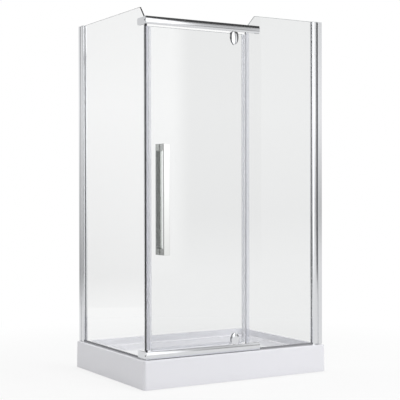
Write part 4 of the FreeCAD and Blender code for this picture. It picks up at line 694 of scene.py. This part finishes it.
@dataclass
class Panels(SubAssembly):
    """Fixed glass panes with their wall jambs and seals."""

    title: str = "panels"

    def finishes(self) -> dict[str, AnyFinish]:
        """Which finish each CAD node takes.

        Returns:
            The finish under each node's name.
        """
        chosen: dict[str, AnyFinish] = {
            "side_glass": Palette.GLASS_SIDE, "fixed_glass": Palette.GLASS_FRONT,
            "side_bottom_seal": Palette.SOFT_GREY, "fixed_bottom_seal": Palette.SOFT_GREY,
            "strike_seal": Palette.STRIKE, "strike_magnet": Palette.MAGNET,
            "fixed_edge_seal": Palette.STRIP_CLEAR,
        }
        for side in ("left", "right"):
            chosen[f"{side}_wall_channel"] = Palette.JAMB
            chosen[f"{side}_panel_profile"] = Palette.JAMB
            chosen[f"{side}_glass_gasket"] = Palette.STRIP
            chosen[f"{side}_jamb_screws"] = Palette.STAINLESS
            chosen[f"{side}_top_cap"] = Palette.GREY
        return chosen


@dataclass
class Rails(SubAssembly):
    """Rails, end caps, pivot bushes, corner clamps and rear clips."""

    title: str = "rails"

    def finishes(self) -> dict[str, AnyFinish]:
        """Which finish each CAD node takes."""
        return {
            "top_rail": Palette.RAIL, "bottom_rail": Palette.RAIL, "threshold_gasket": Palette.RUBBER,
            "rail_end_caps": Palette.CHROME, "pivot_bushes": Palette.WHITE,
            "top_corner_clamp": Palette.CHROME, "bottom_corner_clamp": Palette.CHROME,
            "corner_clamp_plates": Palette.CHROME, "corner_clamp_pads": Palette.RUBBER,
            "corner_clamp_screws": Palette.STAINLESS, "rail_end_screws": Palette.BLACK,
            "glass_clip_pads": Palette.RUBBER, "glass_clip_plates": Palette.CHROME,
            "glass_clip_screws": Palette.STAINLESS,
        }

    def build(self) -> None:
        """Makes the dark plugs that paint the shade in the hexagon sockets of the clamp and clip screws.
        """
        self.add_sockets("corner_clamp_screws", Axis.X, "enclosure")
        self.add_sockets("glass_clip_screws", Axis.Y, "enclosure")


@dataclass
class Door(SubAssembly):
    """Door leaf with hinges, seals and handle."""

    title: str = "door"

    def finishes(self) -> dict[str, AnyFinish]:
        """Which finish each CAD node takes."""
        return {
            "door_glass": Palette.GLASS_FRONT, "top_hinge_tongue": Palette.CHROME,
            "bottom_hinge_tongue": Palette.CHROME, "hinge_inner_plates": Palette.CHROME,
            "hinge_gaskets": Palette.RUBBER, "hinge_screws": Palette.STAINLESS,
            "pivot_pins": Palette.STAINLESS, "door_magnetic_seal": Palette.STRIP,
            "door_magnet": Palette.PALE_MAGNET, "door_edge_seal": Palette.STRIP,
            "door_drip_seal": Palette.STRIP, "outer_handle": Palette.HANDLE,
            "inner_handle": Palette.HANDLE_INNER_SHADED, "handle_studs": Palette.ZINC,
            "handle_bosses": Palette.STAINLESS, "handle_washers": Palette.STRIP,
            "handle_grub_screws": Palette.BLACK,
        }

    def build(self) -> None:
        """Makes the dark plugs that paint the shade in the hexagon sockets of the hinge screws."""
        self.add_sockets("hinge_screws", Axis.Y, "door")


# ------------------------------------------------------------------ studio


@dataclass(frozen=True)
class Card:
    """An upright or lying studio card that only metal and glass reflect.

    Its level runs from low at the lower edge over middle to high, and its sides fade out softly. A
    card with a foot starts at the foot's level and comes to low after foot_reach of the way to
    middle.
    """

    name: str
    centre: Point
    target: Point
    width: float
    height: float
    low: float
    middle: float
    high: float
    middle_at: float = 0.5
    soft: float = 0.03
    foot: float | None = None
    foot_reach: float = 0.35

    def build(self) -> None:
        """Makes the card, hidden from the camera, from light bounces and from shadows."""
        bpy.ops.object.select_all(action="DESELECT")
        bpy.ops.mesh.primitive_plane_add(size=1.0)
        card = bpy.context.object
        card.name = self.name
        card.data.name = self.name
        card.scale = (self.width, self.height, 1.0)
        facing = Vector(self.target) - Vector(self.centre)
        card.rotation_euler = facing.to_track_quat("Z", "Y").to_euler()
        card.location = self.centre
        card.data.materials.append(self.material())
        card.visible_camera = False
        card.visible_diffuse = False
        card.visible_shadow = False

    def material(self) -> bpy.types.Material:
        """The card's glow, shown only after a bounce off metal or glass.

        Returns:
            The node material.
        """
        tree = NodeTree.of_material(self.name)
        place = tree.place()
        glow = tree.add("ShaderNodeEmission")
        tree.link(self.ramp(tree, tree.maths("ADD", place.outputs["Y"], HALF_PLANE)), glow.inputs["Color"])
        side = tree.maths("ABSOLUTE", place.outputs["X"])
        fade = tree.band(side, HALF_PLANE, HALF_PLANE - self.soft)
        bounced = tree.maths("MINIMUM", tree.ray("Glossy Depth"), 1.0)
        clear = tree.add("ShaderNodeBsdfTransparent")
        tree.show(tree.choose(tree.maths("MULTIPLY", fade, bounced),
                              clear.outputs["BSDF"], glow.outputs["Emission"]))
        tree.owner.cycles.emission_sampling = "NONE"
        return tree.owner

    def ramp(self, tree: NodeTree, rise: Socket) -> Socket:
        """The card's level over its height.

        Args:
            tree: the material's nodes.
            rise: 0 at the card's lower edge and 1 at its upper one.

        Returns:
            The grey colour socket.
        """
        node = tree.add("ShaderNodeValToRGB")
        stops = node.color_ramp.elements
        lowest = self.low if self.foot is None else self.foot
        stops[0].color = (lowest, lowest, lowest, 1.0)
        stops[1].color = (self.high, self.high, self.high, 1.0)
        inner = {self.middle_at: self.middle}
        if self.foot is not None:
            inner[self.middle_at * self.foot_reach] = self.low
        for position, level in inner.items():
            stops.new(position).color = (level, level, level, 1.0)
        tree.link(rise, node.inputs["Fac"])
        return node.outputs["Color"]


@dataclass(frozen=True)
class Lamp:
    """A square soft lamp that the cards stand in for in reflections."""

    name: str
    place: Point
    target: Point
    size: float
    power: float

    def build(self) -> None:
        """Hangs the lamp, seen neither directly nor in metal and glass."""
        data = bpy.data.lights.new(self.name, "AREA")
        data.shape = "SQUARE"
        data.size = self.size
        data.energy = self.power
        lamp = bpy.data.objects.new(self.name, data)
        bpy.context.scene.collection.objects.link(lamp)
        lamp.location = self.place
        facing = Vector(self.target) - Vector(self.place)
        lamp.rotation_euler = facing.to_track_quat("-Z", "Y").to_euler()
        lamp.visible_camera = False
        lamp.visible_glossy = False
        lamp.visible_transmission = False


CARDS = (
    Card("card_bright", centre=(1.2, -6.0, 2.8), target=(1.2, 0.0, 2.8), width=3.46, height=5.4,
         low=1.0, middle=1.95, high=1.1, middle_at=0.36, soft=0.087),
    Card("card_front_left", centre=(-2.95, -6.1, 1.6), target=(-2.95, 0.0, 1.6), width=5.2, height=6.6,
         low=0.2, middle=0.24, high=0.2, soft=0.04),
    Card("card_dim", centre=(3.3, -6.2, 2.4), target=(3.3, 0.0, 2.4), width=1.5, height=4.6,
         low=0.27, middle=0.62, high=0.3, middle_at=0.42, soft=0.02, foot=0.85),
    Card("card_plain", centre=(7.9, -6.3, 2.4), target=(7.9, 0.0, 2.4), width=8.0, height=4.6,
         low=0.52, middle=0.95, high=0.6, middle_at=0.42, soft=0.02, foot=0.9),
    Card("card_ceiling", centre=(0.5, -4.5, 5.7), target=(0.5, -4.5, 0.0), width=18.0, height=9.0,
         low=0.07, middle=0.07, high=0.07, soft=0.02),
    Card("card_left", centre=(-5.2, -0.9, 1.6), target=(0.0, -0.9, 1.6), width=10.4, height=6.0,
         low=0.2, middle=0.26, high=0.2),
    Card("card_corner", centre=(-2.35, 3.1, 2.9), target=(-0.5, -0.4, 2.9), width=2.2, height=6.0,
         low=0.4, middle=0.85, high=0.1, middle_at=0.325, soft=0.1, foot=0.85, foot_reach=0.2),
    Card("card_right", centre=(6.4, -0.3, 1.6), target=(0.0, -0.3, 1.6), width=10.6, height=6.0,
         low=0.12, middle=0.12, high=0.12),
)

LAMPS = (
    Lamp("key", place=(3.4, -5.2, 4.2), target=(0.0, 0.0, 0.7), size=3.0, power=185.0),
    Lamp("fill", place=(-5.2, -3.0, 3.0), target=(0.0, 0.0, 0.7), size=3.0, power=20.0),
    Lamp("top", place=(0.1, 0.1, 3.6), target=(0.1, 0.1, 0.0), size=1.6, power=54.0),
)


@dataclass
class Studio:
    """Floor, white surroundings, lamps, reflection cards and camera.

    The near level is the share of plain white that the floor shows within the near radius; the
    rest there is its lit paint. Mirrored rays see that white at the mirrored level.
    """

    floor_half: float = 14.0
    floor_colour: Colour = (0.72, 0.72, 0.72)
    near_radius: float = 0.9
    far_radius: float = 2.6
    near_level: float = 0.82
    mirrored_level: float = 0.8
    ambient: float = 0.6
    world_colour: Colour = (1.0, 1.0, 1.0)
    camera_place: Point = (-3.1131, -5.3414, 1.0657)
    yaw: float = 30.3
    pitch: float = -0.5
    roll: float = -0.1
    lens: float = 93.2
    sensor_width: float = 36.0

    def build(self) -> None:
        """Makes everything that isn't the object."""
        self.make_floor()
        self.make_world()
        for fitting in (*CARDS, *LAMPS):
            fitting.build()
            LOG.info("studio: %s", fitting.name)
        self.make_camera()
        LOG.info("studio ready")

    def make_floor(self) -> None:
        """A floor that looks white far off and lets its shaded paint show through near the object."""
        bpy.ops.object.select_all(action="DESELECT")
        bpy.ops.mesh.primitive_plane_add(size=self.floor_half * 2)
        floor = bpy.context.object
        floor.name = "studio_floor"
        tree = NodeTree.of_material("studio_floor_white")
        paint = tree.add("ShaderNodeBsdfDiffuse")
        paint.inputs["Color"].default_value = (*self.floor_colour, 1.0)
        glow = tree.add("ShaderNodeEmission")
        mirrored = tree.maths("SUBTRACT", tree.ray("Is Glossy Ray"), tree.ray("Is Transmission Ray"),
                              clamped=True)
        tree.link(tree.span(mirrored, 1.0, self.mirrored_level), glow.inputs["Strength"])
        radius = tree.add("ShaderNodeVectorMath", operation="LENGTH")
        tree.link(tree.coordinates(), radius.inputs[0])
        away = tree.band(radius.outputs["Value"], self.near_radius, self.far_radius)
        shown = tree.maths("MULTIPLY", tree.seen(), tree.span(away, self.near_level, 1.0))
        tree.show(tree.choose(shown, paint.outputs["BSDF"], glow.outputs["Emission"]))
        floor.data.materials.append(tree.owner)

    def make_world(self) -> None:
        """Even light, seen as plain white by the camera, in metal and through glass."""
        tree = NodeTree.of_world("studio_world")
        bpy.context.scene.world = tree.owner
        background = tree.add("ShaderNodeBackground")
        background.inputs["Color"].default_value = (*self.world_colour, 1.0)
        tree.link(tree.span(tree.seen(), self.ambient, 1.0), background.inputs["Strength"])
        tree.show(background.outputs["Background"])

    def make_camera(self) -> None:
        """The photograph's camera."""
        yaw, pitch, roll = (math.radians(angle) for angle in (self.yaw, self.pitch, self.roll))
        level = math.cos(pitch)
        forward = Vector((math.sin(yaw) * level, math.cos(yaw) * level, math.sin(pitch)))
        right = Vector((math.cos(yaw), -math.sin(yaw), 0.0))
        up = right.cross(forward)
        tilted_right = right * math.cos(roll) + up * math.sin(roll)
        tilted_up = up * math.cos(roll) - right * math.sin(roll)
        turn = Matrix((tilted_right, tilted_up, -forward)).transposed()
        data = bpy.data.cameras.new("photo_camera")
        data.lens = self.lens
        data.sensor_width = self.sensor_width
        camera = bpy.data.objects.new("photo_camera", data)
        bpy.context.scene.collection.objects.link(camera)
        camera.matrix_world = Matrix.Translation(Vector(self.camera_place)) @ turn.to_4x4()
        bpy.context.scene.camera = camera


def main() -> None:
    """Builds and dresses every sub-assembly, then the studio."""
    logging.basicConfig(level=logging.INFO, format="%(message)s")
    bpy.context.scene.view_settings.view_transform = "Standard"
    palette = Palette()
    for group in (Tray, Waste, Panels, Rails, Door):
        assembly = group(palette)
        assembly.dress()
        assembly.build()
    Studio().build()


if __name__ == "__main__":
    main()
